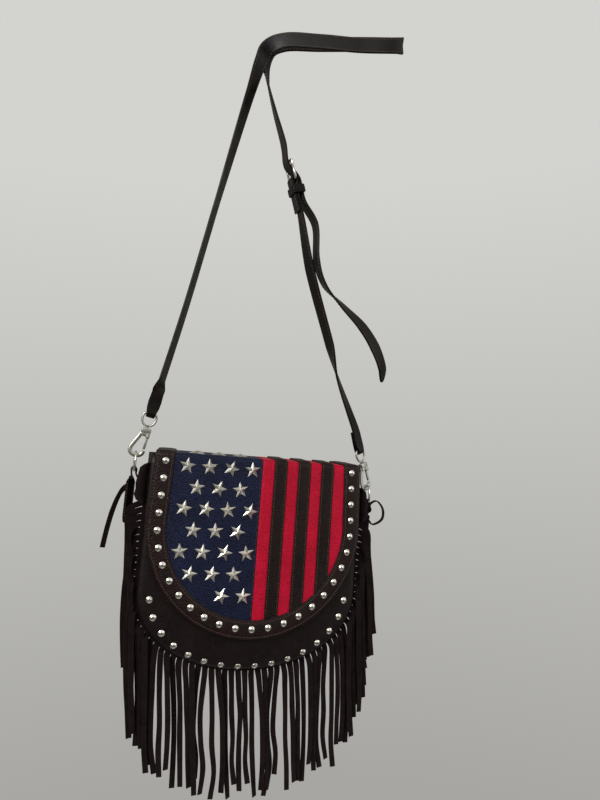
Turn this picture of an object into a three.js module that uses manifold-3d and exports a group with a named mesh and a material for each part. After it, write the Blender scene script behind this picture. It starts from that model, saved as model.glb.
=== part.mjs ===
// A fringed saddle bag hanging by its shoulder strap, in millimetres, +Z up.
// The origin is the bend of the strap that hangs; the front of the bag faces -Y.
import * as THREE from 'three';
import Module from 'manifold-3d';

const wasm = await Module();
wasm.setup();

// Leather and general clearances
const LEATHER = 2.2;
const FLAP_LEATHER = 2.0;
const PANEL_LEATHER = 1.3;
const SUEDE = 1.4;
const SEAT_GAP = 0.3;
const JOINT_GAP = 0.4;

// How the bag hangs
const BAG_PLACE = [-19, 0, -506];
const BAG_ROLL = THREE.MathUtils.degToRad(6.1);
const FRONT_SLOPE = Math.tan(THREE.MathUtils.degToRad(6.2));

// Bag body: a U outline with straight sides and elliptical lower corners
const BODY_HALF_WIDTH = 128;
const BODY_SIDE = 150;
const BODY_CORNER = 87;
const BODY_POWER = 2.1;
const BODY_DEPTH_TOP = 33.4;
const BACK_FACE_Y = 20;
const MOUTH_Z = -5;
const RIM_DEPTH = 8;
const RIM_ROUND = 14;
const GUSSET_INSET = 1;
const PANEL_STUD_SIDE = 14;
const PANEL_STUD_BASE = 5;
const PANEL_STUD_PITCH = 19.5;
const PANEL_STUD_FOOT = 2;

// Flap: straight top, elliptical lower edge
const FLAP_MARGIN = 3;
const FLAP_HALF_WIDTH = BODY_HALF_WIDTH - FLAP_MARGIN;
const FLAP_TOP_HALF_WIDTH = FLAP_HALF_WIDTH - 2.5;
const FLAP_SIDE = 75;
const FLAP_CURVE = 125;
const FLAP_LIFT = 2.9;
const BRIDGE_HALF_WIDTH = FLAP_TOP_HALF_WIDTH - 5;
const BRIDGE_RISE = 0.6;
const BORDER_WIDTH = 21;
const BORDER_LAP = 4;
const CANTON_RIGHT = 0;
const STRIPE_PITCH = 14.6;
const STRIPE_COUNT = 7;
const BROWN_LAP = 0.9;

// Studs, stars and snap
const STUD_RADIUS = 3.75;
const STUD_HEIGHT = 1.9;
const STUD_PITCH = 18.5;
const STAR_RADIUS = 9.5;
const STAR_WAIST = 0.42;
const STAR_HEIGHT = 3.4;
const STAR_PITCH = (FLAP_HALF_WIDTH - 50) / 3;
const STAR_ROW = 23.5;
const STAR_FIRST = [38 - FLAP_HALF_WIDTH, -12];
const FOLD_STAR_BACK = 13;
const SNAP_RADIUS = 8;
const SNAP_THICK = 1.0;
const SNAP_Z = -145;

// Fringe
const FRINGE_PITCH = 7.5;
const FRINGE_WIDTH = 5.5;
const FRINGE_LENGTH = 140;
const FRINGE_TOP_LEFT = 55;
const FRINGE_TOP_RIGHT = 68;
const FRINGE_REACH = 6;
const FRINGE_SPREAD = 0.13;
const FRINGE_LAYER = 1.9;
const FRINGE_NODE_EDGE = 70;
const HEADER_IN = 6;
const HEADER_OUT = 2.5;

// Hook, ring and tab
const WIRE = 1.4;
const HOOK_OUT = { left: 13, right: 16.5 };
const HOOK_BLOCK_X = [-5, 6.2];
const HOOK_BLOCK_Y = 3;
const HOOK_CHEEK_X = 2.3;
const HOOK_BLOCK_Z = 26;
const HOOK_BLOCK_TOP = 32;
const STEM_RADIUS = 1.2;
const RIVET_RADIUS = 1.7;
const EYE_WIRE = 1.3;
const EYE_TOP = 48.5;
const RING_RADIUS = 10;
const RING_WIRE = 1.3;
const RING_GAP = 0.9;
const GATE_PIVOT = [4.2, 23.2];
const GATE_HALF = 1.1;
const PIN_RADIUS = 0.8;
const TAB_WIDTH = 12;
const TAB_LEATHER = 1.8;
const TAB_TAIL = { left: 60, right: 40 };
const TAB_SEW_DEPTH = 24;
const TAB_LEAN = 0.6;
const TAIL_TURN = [0.8, 0.6, 0];
const LACE_WIDTH = 5.7;
const WRAP_EASE = 0.25;

// Strap and buckle
const STRAP_WIDTH = 18;
const STRAP_THICK = 2.5;
const STRAP_FOLD_WIDTH = 10;
const BUCKLE_PLACE = [22.5, 0, -170];
const BUCKLE_TILT = THREE.MathUtils.degToRad(-14);
const BUCKLE_LENGTH = 22;
const BUCKLE_WIRE = 1.5;
const BUCKLE_INNER = STRAP_WIDTH + 2.4;
const PRONG_RADIUS = 1.1;
const PRONG_RANGE = 15;
const KEEPER_WALL = 1.6;
const KEEPER_WIDTH = 9;
const KEEPER_DROP = 17;

const V = (x, y, z) => new THREE.Vector3(x, y, z);

// Closed meshes and booleans
function toGeometry(positions, indices) {
  const geometry = new THREE.BufferGeometry();
  geometry.setAttribute('position', new THREE.Float32BufferAttribute(positions, 3));
  geometry.setIndex(indices);
  return geometry;
}

function signedVolume(points, indices) {
  let sum = 0;
  for (let i = 0; i < indices.length; i += 3) {
    const a = points[indices[i]];
    const b = points[indices[i + 1]];
    const c = points[indices[i + 2]];
    sum += a.dot(b.clone().cross(c));
  }
  return sum;
}

function toSolid(points, indices) {
  if (signedVolume(points, indices) < 0) indices.reverse();
  const mesh = new wasm.Mesh({
    numProp: 3,
    vertProperties: new Float32Array(points.flatMap((p) => [p.x, p.y, p.z])),
    triVerts: new Uint32Array(indices),
  });
  return new wasm.Manifold(mesh);
}

// Joins loops of equal count into a skin; the ends are capped with fans, or the skin is closed in a ring
function loft(loops, ring = false) {
  const count = loops[0].length;
  const points = loops.flat();
  const indices = [];
  const spans = ring ? loops.length : loops.length - 1;
  for (let i = 0; i < spans; i++) {
    const low = i * count;
    const high = ((i + 1) % loops.length) * count;
    for (let j = 0; j < count; j++) {
      const k = (j + 1) % count;
      indices.push(low + j, low + k, high + k, low + j, high + k, high + j);
    }
  }
  if (!ring) {
    const last = (loops.length - 1) * count;
    for (let j = 1; j < count - 1; j++) {
      indices.push(0, j + 1, j, last, last + j, last + j + 1);
    }
  }
  return toSolid(points, indices);
}

// Plates lie in the XZ plane between two depths; depth may change with height
function plate(outline, front, back) {
  const frontAt = typeof front === 'function' ? front : () => front;
  const backAt = typeof back === 'function' ? back : () => back;
  return loft([
    outline.map(([x, z]) => V(x, frontAt(z), z)),
    outline.map(([x, z]) => V(x, backAt(z), z)),
  ]);
}

function boxSolid(x0, x1, y0, y1, z0, z1) {
  return plate([[x0, z0], [x1, z0], [x1, z1], [x0, z1]], y0, y1);
}

// Sections swept along a path: a rectangle for straps, a circle for wire
function sweep(frames, section, ring = false) {
  return loft(frames.map(({ at, side, face }) => section.map(([a, b]) => at.clone()
    .addScaledVector(side, a).addScaledVector(face, b))), ring);
}

function circle(radius, sides) {
  return Array.from({ length: sides }, (_, i) => {
    const angle = 2 * Math.PI * (i + 0.5) / sides;
    return [radius * Math.cos(angle), radius * Math.sin(angle)];
  });
}

function wire(points, radius, { sides = 6, steps = 2, ring = false, up = V(0, 1, 0) } = {}) {
  const curve = new THREE.CatmullRomCurve3(points, ring, 'centripetal');
  const total = ring ? points.length * steps : (points.length - 1) * steps;
  const frames = [];
  for (let i = 0; i < (ring ? total : total + 1); i++) {
    const tangent = curve.getTangent(i / total);
    const face = up.clone().addScaledVector(tangent, -up.dot(tangent)).normalize();
    frames.push({ at: curve.getPoint(i / total), side: tangent.clone().cross(face), face });
  }
  return sweep(frames, circle(radius, sides), ring);
}

// A strap through stations of point, width direction and width
function ribbon(stations, thick, steps) {
  const curve = new THREE.CatmullRomCurve3(stations.map((s) => s.at), false, 'centripetal');
  const spans = stations.length - 1;
  const loops = [];
  for (let i = 0; i <= spans * steps; i++) {
    const t = i / (spans * steps);
    const low = Math.min(Math.floor(i / steps), spans - 1);
    const mix = i / steps - low;
    const tangent = curve.getTangent(t);
    const side = stations[low].side.clone().lerp(stations[low + 1].side, mix);
    side.addScaledVector(tangent, -side.dot(tangent)).normalize();
    const face = tangent.clone().cross(side);
    const half = (stations[low].width * (1 - mix) + stations[low + 1].width * mix) / 2;
    const at = curve.getPoint(t);
    loops.push([[-half, -1], [half, -1], [half, 1], [-half, 1]].map(([a, b]) => at.clone()
      .addScaledVector(side, a).addScaledVector(face, b * thick / 2)));
  }
  return loft(loops);
}

const station = (at, side, width) => ({ at, side: V(...side).normalize(), width });

// The turn of a strap round a bar: offsets in the strap's own plane, from one side over to the other
function barTurn(radius, first, last, steps = 4) {
  return Array.from({ length: steps + 1 }, (_, i) => {
    const angle = THREE.MathUtils.degToRad(first + (last - first) * i / steps);
    return [radius * Math.cos(angle), radius * Math.sin(angle)];
  });
}

function disc(radius, height, sides, domed) {
  const profile = [[radius, 0], [domed ? radius * 0.62 : radius, height]];
  return loft(profile.map(([r, y]) => circle(r, sides).map(([a, b]) => V(a, -y, b))));
}

// The scene graph
const bag = new THREE.Group();
const root = new THREE.Group();
root.add(bag);
bag.position.set(...BAG_PLACE);
bag.rotation.y = BAG_ROLL;

const FINISH = {
  suede: { color: 0x3b2422, roughness: 0.95, metalness: 0 },
  leather: { color: 0x2b1a18, roughness: 0.55, metalness: 0 },
  strap: { color: 0x241a19, roughness: 0.6, metalness: 0 },
  blue: { color: 0x1d2647, roughness: 0.6, metalness: 0 },
  red: { color: 0xc41230, roughness: 0.55, metalness: 0 },
  nickel: { color: 0xc9c6bf, roughness: 0.25, metalness: 1 },
};
const materials = Object.fromEntries(
  Object.entries(FINISH).map(([name, look]) => [name, new THREE.MeshStandardMaterial(look)]),
);

function addPiece(parent, name, solid, finish) {
  const { numProp, vertProperties, triVerts } = solid.getMesh();
  const positions = [];
  for (let i = 0; i < vertProperties.length; i += numProp) {
    positions.push(vertProperties[i], vertProperties[i + 1], vertProperties[i + 2]);
  }
  const piece = new THREE.Mesh(toGeometry(positions, Array.from(triVerts)), materials[finish]);
  piece.name = name;
  parent.add(piece);
  return piece;
}

// Bag outlines: points run from the top left, down and round to the top right
function pouchOutline(inset, top = MOUTH_Z, steps = 24, baseInset = inset) {
  const half = BODY_HALF_WIDTH - inset;
  const drop = BODY_CORNER - baseInset;
  const points = [[-half, top]];
  for (let i = 0; i <= steps; i++) {
    const angle = Math.PI * i / steps;
    const ease = 2 / BODY_POWER;
    const across = -Math.sign(Math.cos(angle)) * half * Math.abs(Math.cos(angle)) ** ease;
    points.push([across, -BODY_SIDE - drop * Math.abs(Math.sin(angle)) ** ease]);
  }
  points.push([half, top]);
  return points;
}

const panelFaceY = (z) => BACK_FACE_Y - BODY_DEPTH_TOP + FRONT_SLOPE * z;
const frontRimY = (z) => panelFaceY(z) + RIM_DEPTH;
const headerFrontY = (z) => frontRimY(z) + SEAT_GAP;
const headerBackY = (z) => headerFrontY(z) + SUEDE;
const BACK_RIM_Y = BACK_FACE_Y - RIM_DEPTH;

// A panel with its edge rolled back, made by taking the inner dish out of the outer one
const DISH = [[RIM_ROUND, 0], [RIM_ROUND * 0.42, 0.06], [RIM_ROUND * 0.12, 0.4], [0, 1]];
function dish(faceAt, toward) {
  const outer = DISH.map(([inset, share]) => pouchOutline(inset)
    .map(([x, z]) => V(x, faceAt(z) + toward * RIM_DEPTH * share, z)));
  const inner = DISH.map(([inset, share]) => pouchOutline(inset + LEATHER, 5)
    .map(([x, z]) => V(x, faceAt(z) + toward * (LEATHER + RIM_DEPTH * share), z)));
  return loft(outer).subtract(loft(inner));
}

// Points and outward normals at even steps along the seam round the bag
function seamPoints(outline, first, pitch, count) {
  const found = [];
  let walked = 0;
  let wanted = first;
  for (let i = 0; i < outline.length - 1 && found.length < count; i++) {
    const [ax, az] = outline[i];
    const [bx, bz] = outline[i + 1];
    const length = Math.hypot(bx - ax, bz - az);
    while (wanted <= walked + length && found.length < count) {
      const share = (wanted - walked) / length;
      found.push({
        x: ax + (bx - ax) * share,
        z: az + (bz - az) * share,
        nx: (bz - az) / length,
        nz: -(bx - ax) / length,
      });
      wanted += pitch;
    }
    walked += length;
  }
  return found;
}

function outlineLength(outline) {
  const steps = outline.slice(1).map(([x, z], i) => Math.hypot(x - outline[i][0], z - outline[i][1]));
  return steps.reduce((sum, step) => sum + step, 0);
}

function studsOn(solid, spots, faceAt, foot) {
  const studs = spots.map(({ x, z }) => disc(STUD_RADIUS, STUD_HEIGHT + foot, 8, true)
    .translate([x, faceAt(z) + foot, z]));
  return wasm.Manifold.union([solid, ...studs]);
}

// Front panel with its row of studs below the flap; the row runs nearer to the edge at the base
const PANEL_STUD_COUNT = 16;
const studLine = pouchOutline(PANEL_STUD_SIDE, MOUTH_Z, 90, PANEL_STUD_BASE);
const studReach = (PANEL_STUD_COUNT - 1) * PANEL_STUD_PITCH;
const studStart = (outlineLength(studLine) - studReach) / 2;
const panelStudSpots = seamPoints(studLine, studStart, PANEL_STUD_PITCH, PANEL_STUD_COUNT);
const frontPanel = studsOn(dish(panelFaceY, 1), panelStudSpots, panelFaceY, PANEL_STUD_FOOT);
addPiece(bag, 'front_panel', frontPanel, 'leather');
addPiece(bag, 'back_panel', dish(() => BACK_FACE_Y, -1), 'leather');

// Gusset: the band that joins the two panels
const gussetFrontY = (z) => headerBackY(z) + SEAT_GAP;
const gussetBackY = BACK_RIM_Y - SEAT_GAP;
const gusset = plate(pouchOutline(GUSSET_INSET), gussetFrontY, gussetBackY)
  .subtract(plate(pouchOutline(GUSSET_INSET + LEATHER, 5), (z) => gussetFrontY(z) - 5, gussetBackY + 5));
addPiece(bag, 'gusset', gusset, 'suede');

// Fringe: strips cut from one suede band that is sewn into the front seam
const down = V(0, 0, -1).applyAxisAngle(V(0, 1, 0), -BAG_ROLL);
const seam = pouchOutline(0, MOUTH_Z, 90);
const seamLength = outlineLength(seam);
const fringeCount = Math.floor((seamLength - FRINGE_TOP_LEFT - FRINGE_TOP_RIGHT) / FRINGE_PITCH) + 1;
const fringeRoots = seamPoints(seam, FRINGE_TOP_LEFT, FRINGE_PITCH, fringeCount);

function fringeStrip(spot, index) {
  const headerY = headerFrontY(spot.z) + SUEDE / 2;
  const layerY = headerY - (index % 4) * FRINGE_LAYER;
  const height = Math.max(0, spot.z + BODY_SIDE);
  const reach = FRINGE_REACH + FRINGE_SPREAD * height;
  const length = FRINGE_LENGTH + 8 * Math.sin(index * 2.4) + 5 * Math.sin(index * 5.1);
  const out = V(spot.nx, 0, spot.nz);
  const start = V(spot.x, headerY, spot.z);
  const bend = start.clone().addScaledVector(out, reach);
  const at = (along, lateral) => bend.clone().addScaledVector(down, along)
    .add(V(lateral, layerY - headerY, 0));
  const wave = 1.1 * Math.sin(index * 1.7);
  const points = [
    start.clone().addScaledVector(out, -1),
    start.clone().addScaledVector(out, Math.min(4, reach * 0.5)),
    at(reach * 0.45, -spot.nx * 0.6),
    at(reach * 0.9 + 14, wave * 0.4),
    at(length * 0.55, wave),
    at(length - reach, 0),
  ];
  const sideAt = points.map((point, i) => {
    const ahead = points[Math.min(i + 1, points.length - 1)];
    const behind = points[Math.max(i - 1, 0)];
    return ahead.clone().sub(behind).cross(V(0, 1, 0)).normalize();
  });
  const stations = points.map((point, i) => ({ at: point, side: sideAt[i], width: FRINGE_WIDTH }));
  return ribbon(stations, SUEDE, 1);
}

function fringeHeader(roots) {
  const first = roots[0];
  const last = roots[roots.length - 1];
  const stretch = (end, sign) => ({
    ...end,
    x: end.x + sign * end.nz * FRINGE_PITCH * 0.46,
    z: end.z - sign * end.nx * FRINGE_PITCH * 0.46,
  });
  const spots = [stretch(first, 1), ...roots, stretch(last, -1)];
  return loft(spots.map(({ x, z, nx, nz }) => {
    const inner = z - nz * HEADER_IN;
    const outer = z + nz * HEADER_OUT;
    return [
      V(x - nx * HEADER_IN, headerFrontY(inner), inner),
      V(x + nx * HEADER_OUT, headerFrontY(outer), outer),
      V(x + nx * HEADER_OUT, headerBackY(outer), outer),
      V(x - nx * HEADER_IN, headerBackY(inner), inner),
    ];
  }));
}

const fringeParts = {
  fringe_left: (spot) => spot.x < -FRINGE_NODE_EDGE,
  fringe_bottom: (spot) => Math.abs(spot.x) <= FRINGE_NODE_EDGE,
  fringe_right: (spot) => spot.x > FRINGE_NODE_EDGE,
};
for (const [name, holds] of Object.entries(fringeParts)) {
  const roots = fringeRoots.filter(holds);
  const strips = roots.map((spot) => {
    const index = fringeRoots.indexOf(spot);
    return fringeStrip(spot, Math.min(index, fringeCount - 1 - index));
  });
  addPiece(bag, name, wasm.Manifold.union([fringeHeader(roots), ...strips]), 'suede');
}

// Flap frame: its back plane swings about the front top fold
const bridgeTop = MOUTH_Z + BRIDGE_RISE + FLAP_LEATHER;
const hingeY = panelFaceY(bridgeTop) - FLAP_LIFT;
const flap = new THREE.Group();
flap.position.set(0, hingeY, bridgeTop);
flap.rotation.x = -Math.atan(FRONT_SLOPE);
bag.add(flap);

function flapOutline(inset, top = 0, steps = 30) {
  const half = FLAP_HALF_WIDTH - inset;
  const points = [[-FLAP_TOP_HALF_WIDTH + inset, top]];
  for (let i = 0; i <= steps; i++) {
    const angle = Math.PI * i / steps;
    points.push([-half * Math.cos(angle), -FLAP_SIDE - (FLAP_CURVE - inset) * Math.sin(angle)]);
  }
  points.push([FLAP_TOP_HALF_WIDTH - inset, top]);
  return points;
}

// Layers of the flap, from the back plane outwards
const backingFace = -FLAP_LEATHER;
const panelBack = backingFace - SEAT_GAP;
const panelFace = panelBack - PANEL_LEATHER;
const trimBack = panelFace - SEAT_GAP;
const trimFace = trimBack - PANEL_LEATHER;
addPiece(flap, 'flap_backing', plate(flapOutline(0), backingFace, 0), 'leather');

const inlay = plate(flapOutline(BORDER_WIDTH - BORDER_LAP), panelFace, panelBack);
const slab = (x0, x1) => boxSolid(x0, x1, panelFace - 1, panelBack + 1, -FLAP_SIDE - FLAP_CURVE, 1);
const REACH = FLAP_HALF_WIDTH;
addPiece(flap, 'canton', inlay.intersect(slab(-REACH, CANTON_RIGHT - SEAT_GAP / 2)), 'blue');

// Red stripes butt on the canton and on each other under the brown strips
const stripeEdge = (i) => CANTON_RIGHT + STRIPE_PITCH * i;
const redCount = (STRIPE_COUNT + 1) / 2;
for (let i = 0; i < redCount; i++) {
  const left = i === 0 ? CANTON_RIGHT + SEAT_GAP / 2 : stripeEdge(2 * i - 0.5) + SEAT_GAP / 2;
  const right = i === redCount - 1 ? REACH : stripeEdge(2 * i + 1.5) - SEAT_GAP / 2;
  addPiece(flap, `red_stripe_${i + 1}`, inlay.intersect(slab(left, right)), 'red');
}
const stripBody = plate(flapOutline(BORDER_WIDTH + SEAT_GAP), trimFace, trimBack);
for (let i = 1; i < redCount; i++) {
  const left = stripeEdge(2 * i - 1) - BROWN_LAP / 2;
  const right = stripeEdge(2 * i) + BROWN_LAP / 2;
  const cut = boxSolid(left, right, trimFace - 1, trimBack + 1, -FLAP_SIDE - FLAP_CURVE, 1);
  addPiece(flap, `brown_stripe_${i}`, stripBody.intersect(cut), 'leather');
}

// Border band over the inlay's edge, with the row of round studs
const borderFace = trimFace - 0.4;
const borderRim = plate(flapOutline(0), borderFace, backingFace - SEAT_GAP)
  .subtract(plate(flapOutline(BORDER_WIDTH, 5), borderFace - 1, 1))
  .subtract(plate(flapOutline(BORDER_WIDTH - BORDER_LAP - SEAT_GAP, 5), trimBack, 1));
const flapStudLine = flapOutline(BORDER_WIDTH / 2 + 1, 0, 90);
const FLAP_STUD_COUNT = 27;
const flapStudReach = (FLAP_STUD_COUNT - 1) * STUD_PITCH;
const flapStudStart = (outlineLength(flapStudLine) - flapStudReach) / 2;
const STUD_FOOT = 0.5;
const flapStudSpots = seamPoints(flapStudLine, flapStudStart, STUD_PITCH, FLAP_STUD_COUNT);
addPiece(flap, 'flap_border', studsOn(borderRim, flapStudSpots, () => borderFace, STUD_FOOT), 'leather');

// Star studs: five-pointed pyramids on a foot
function starSolid(turn) {
  const rim = Array.from({ length: 10 }, (_, i) => {
    const radius = i % 2 ? STAR_RADIUS * STAR_WAIST : STAR_RADIUS;
    const angle = Math.PI / 2 + turn + Math.PI * i / 5;
    return [radius * Math.cos(angle), radius * Math.sin(angle)];
  });
  const points = [...rim.map(([x, z]) => V(x, 0, z)), ...rim.map(([x, z]) => V(x, -0.5, z))];
  points.push(V(0, 0, 0), V(0, -STAR_HEIGHT, 0));
  const indices = [];
  for (let i = 0; i < 10; i++) {
    const k = (i + 1) % 10;
    indices.push(i, k, 10 + k, i, 10 + k, 10 + i);
    indices.push(10 + i, 10 + k, 21, k, i, 20);
  }
  return toSolid(points, indices);
}

const starSpots = [];
for (let row = 0; row < 7; row++) {
  const columns = row % 2 ? [0.5, 1.5, 2.5] : [0, 1, 2, 3];
  for (const column of row === 6 ? [2, 3] : columns) {
    starSpots.push([STAR_FIRST[0] + STAR_PITCH * column, STAR_FIRST[1] - STAR_ROW * row]);
  }
}
starSpots.forEach(([x, z], i) => {
  const turn = 0.26 * Math.sin(i * 2.3) - 0.1;
  const star = addPiece(flap, `star_${String(i + 1).padStart(2, '0')}`, starSolid(turn), 'nickel');
  star.position.set(x, panelFace - SEAT_GAP, z);
});

// Hidden snap between flap and panel
const snapStudBack = SEAT_GAP + SNAP_THICK;
const snapStud = addPiece(flap, 'snap_stud', disc(SNAP_RADIUS, SNAP_THICK, 20, false), 'nickel');
snapStud.position.set(0, snapStudBack, SNAP_Z);
const snapSocket = addPiece(flap, 'snap_socket', disc(SNAP_RADIUS, SNAP_THICK, 20, false), 'nickel');
snapSocket.position.set(0, snapStudBack + SNAP_THICK + SEAT_GAP, SNAP_Z);

// Bridge of the flap over the mouth, with the row of stars that shows on the fold
const bridgeBody = boxSolid(
  -BRIDGE_HALF_WIDTH, BRIDGE_HALF_WIDTH, hingeY + JOINT_GAP, BACK_FACE_Y, MOUTH_Z + BRIDGE_RISE, bridgeTop);
const foldStars = [0.5, 1.5, 2.5].map((column) => starSolid(0.2 * column).rotate([-90, 0, 0])
  .translate([STAR_FIRST[0] + STAR_PITCH * column, hingeY + FOLD_STAR_BACK, bridgeTop - 0.3]));
addPiece(bag, 'flap_bridge', wasm.Manifold.union([bridgeBody, ...foldStars]), 'leather');

// Swivel snap hook: eye with a riveted stem, cast hook body and a sprung gate
const HOOK_ARM = [
  [-3.3, 27.5], [-4.6, 22], [-8, 13.5], [-10.1, 7], [-9.2, 2.4], [-5.8, 0], [-2, -0.2], [1.6, 0.6], [4, 3],
  [4.5, 6.4],
];
const EYE_PATH = [
  [-5.5, EYE_TOP], [0, EYE_TOP], [5.5, EYE_TOP], [7.4, EYE_TOP - 2.2], [7, EYE_TOP - 9], [4, 35.4],
  [0, 34.2], [-4, 35.4], [-7, EYE_TOP - 9], [-7.4, EYE_TOP - 2.2],
];
const CONTACT = [-2, -0.2];
const flat = (list) => list.map(([x, z]) => V(x, 0, z));
const post = (radius, low, high, sides = 12) => loft([low, high].map((z) => circle(radius, sides)
  .map(([a, b]) => V(a, b, z))));

function hookPieces(side, place, tilt, yaw) {
  const group = new THREE.Group();
  group.position.set(...place);
  group.rotation.order = 'YXZ';
  group.rotation.y = tilt;
  bag.add(group);
  const turned = new THREE.Group();
  turned.rotation.z = yaw;
  group.add(turned);
  const eye = wire(flat(EYE_PATH), EYE_WIRE, { ring: true })
    .add(post(STEM_RADIUS, HOOK_BLOCK_Z - 1, 34.6))
    .add(post(RIVET_RADIUS, HOOK_BLOCK_Z - 1.5, HOOK_BLOCK_Z - SEAT_GAP));
  addPiece(turned, `swivel_eye_${side}`, eye, 'nickel');
  const bore = post(STEM_RADIUS + SEAT_GAP, HOOK_BLOCK_Z - 3, HOOK_BLOCK_TOP + 3);
  const [blockLeft, blockRight] = HOOK_BLOCK_X;
  const deep = HOOK_BLOCK_Y;
  const cheeks = boxSolid(HOOK_CHEEK_X, blockRight, -deep, deep, GATE_PIVOT[1] - 2.2, HOOK_BLOCK_Z + 1);
  const slot = boxSolid(1, 8, -GATE_HALF - JOINT_GAP, GATE_HALF + JOINT_GAP, 15, HOOK_BLOCK_Z);
  const pinBore = wire([V(0, -4, 0), V(0, 4, 0)], PIN_RADIUS + SEAT_GAP, { up: V(0, 0, 1), sides: 10 })
    .translate([GATE_PIVOT[0], 0, GATE_PIVOT[1]]);
  const block = boxSolid(blockLeft, blockRight, -deep, deep, HOOK_BLOCK_Z, HOOK_BLOCK_TOP).add(cheeks);
  const body = block.add(wire(flat(HOOK_ARM), WIRE)).subtract(bore).subtract(slot)
    .subtract(pinBore);
  addPiece(turned, `hook_${side}`, body, 'nickel');
  const pin = wire([V(0, -deep, 0), V(0, deep, 0)], PIN_RADIUS, { up: V(0, 0, 1), sides: 10 });
  const bar = plate([[-1.3, 0], [-0.9, 1.6], [0.9, 1.6], [1.3, 0], [1.5, -15.1], [-1.1, -15.1]],
    -GATE_HALF, GATE_HALF);
  addPiece(turned, `gate_${side}`, bar.add(pin).translate([GATE_PIVOT[0], 0, GATE_PIVOT[1]]), 'nickel');
  return { group, turned };
}

const degrees = THREE.MathUtils.degToRad;
const HOOK_LEFT = { place: [-BODY_HALF_WIDTH - HOOK_OUT.left, 0, -8.5], tilt: degrees(11.6), yaw: 0 };
const HOOK_RIGHT = { place: [BODY_HALF_WIDTH + HOOK_OUT.right, 0, -27.5], tilt: degrees(-19.7), yaw: 0.5 };
const hooks = {};
for (const [side, hook] of Object.entries({ left: HOOK_LEFT, right: HOOK_RIGHT })) {
  hooks[side] = hookPieces(side, hook.place, hook.tilt, hook.yaw);
}
root.updateMatrixWorld(true);

// D-rings hang in the hooks, and leather tabs and laces hold the rings; the outline is a share of the radius
const D_RING = [
  [-0.68, -1], [0, -1], [0.68, -1], [0.96, -0.78], [1.02, -0.2], [0.89, 0.42], [0.52, 0.86], [0, 1],
  [-0.52, 0.86], [-0.89, 0.42], [-1.02, -0.2], [-0.96, -0.78],
];
for (const side of ['left', 'right']) {
  const sign = side === 'left' ? -1 : 1;
  const hung = bag.worldToLocal(hooks[side].turned.localToWorld(V(CONTACT[0], 0, CONTACT[1])));
  const ringZ = hung.z + WIRE + RING_WIRE + RING_GAP - RING_RADIUS;
  const loop = D_RING.map(([y, z]) => V(hung.x, hung.y + RING_RADIUS * y, ringZ + RING_RADIUS * z));
  addPiece(bag, `ring_${side}`, wire(loop, RING_WIRE, { ring: true, up: V(1, 0, 0) }), 'nickel');

  const wrap = RING_WIRE + SEAT_GAP + TAB_LEATHER / 2 + WRAP_EASE;
  const low = ringZ - RING_RADIUS;
  const ringX = Math.abs(hung.x);
  const sewnX = BODY_HALF_WIDTH - GUSSET_INSET + SEAT_GAP + TAB_LEATHER / 2;
  const midY = hung.y;
  const tailX = ringX + wrap - TAB_LEAN;
  const tabPath = [
    [sewnX, low - TAB_SEW_DEPTH], [sewnX, low - 15], [sewnX + 2.2, low - 10], [ringX - 5.5, low - 8.5],
    [ringX - wrap + 0.2, low - 4], ...barTurn(wrap, 180, 0).map(([x, z]) => [ringX + x, low + z]),
    [tailX, low - 6], [tailX, low - 14], [tailX, low - 24], [tailX, low - TAB_TAIL[side] + 7],
    [tailX, low - TAB_TAIL[side]],
  ];
  const tabTurn = (i) => (side === 'left' && i >= tabPath.length - 3 ? TAIL_TURN : [0, 1, 0]);
  const tab = tabPath.map(([x, z], i) => station(
    V(sign * x, midY, z), tabTurn(i), i === tabPath.length - 1 ? TAB_WIDTH * 0.5 : TAB_WIDTH));
  addPiece(bag, `ring_tab_${side}`, ribbon(tab, TAB_LEATHER, 2), 'leather');

  const laceX = ringX + wrap - TAB_LEAN + TAB_LEATHER / 2 + SEAT_GAP + SUEDE / 2;
  const laceAcross = [0, 1, 0];
  const laceTurn = [0.6, -0.5, 0.5];
  const laceFlat = [0.95, -0.3, 0.1];
  const hanging = side === 'left'
    ? [[laceX, low - 8, laceAcross], [laceX, low - 14, laceAcross], [laceX + 8, low - 27, laceTurn],
      [laceX + 14, low - 46, laceFlat], [laceX + 18, low - 68, laceFlat], [laceX + 20.5, low - 88, laceFlat]]
    : [[laceX, low - 11, laceAcross], [laceX + 1, low - 4, laceAcross], [laceX + 11, low + 1, laceAcross],
      [laceX + 21, low - 9, laceAcross], [laceX + 21, low - 22, laceAcross],
      [laceX + 8, low - 29, laceAcross], [laceX + 0.6, low - 24, laceAcross]];
  const lace = hanging.map(([x, z, across]) => station(
    V(sign * x, midY, z), [sign * across[0], across[1], across[2]], LACE_WIDTH));
  addPiece(bag, `lace_${side}`, ribbon(lace, SUEDE, 2), 'suede');
}

// Buckle frame at the top of the short strap
const buckle = new THREE.Group();
buckle.position.set(...BUCKLE_PLACE);
buckle.rotation.y = BUCKLE_TILT;
root.add(buckle);
root.updateMatrixWorld(true);
const barHalf = BUCKLE_INNER / 2 + BUCKLE_WIRE;
const corner = 2.2;
const framePath = [
  [0, 0], [barHalf - corner, 0], [barHalf, corner], [barHalf, BUCKLE_LENGTH / 2],
  [barHalf, BUCKLE_LENGTH - corner], [barHalf - corner, BUCKLE_LENGTH], [0, BUCKLE_LENGTH],
  [corner - barHalf, BUCKLE_LENGTH], [-barHalf, BUCKLE_LENGTH - corner], [-barHalf, BUCKLE_LENGTH / 2],
  [-barHalf, corner], [corner - barHalf, 0],
].map(([y, z]) => V(0, y, z));
const frameWire = wire(framePath, BUCKLE_WIRE, { ring: true, sides: 8, up: V(1, 0, 0) });
addPiece(buckle, 'buckle_frame', frameWire, 'nickel');

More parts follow.
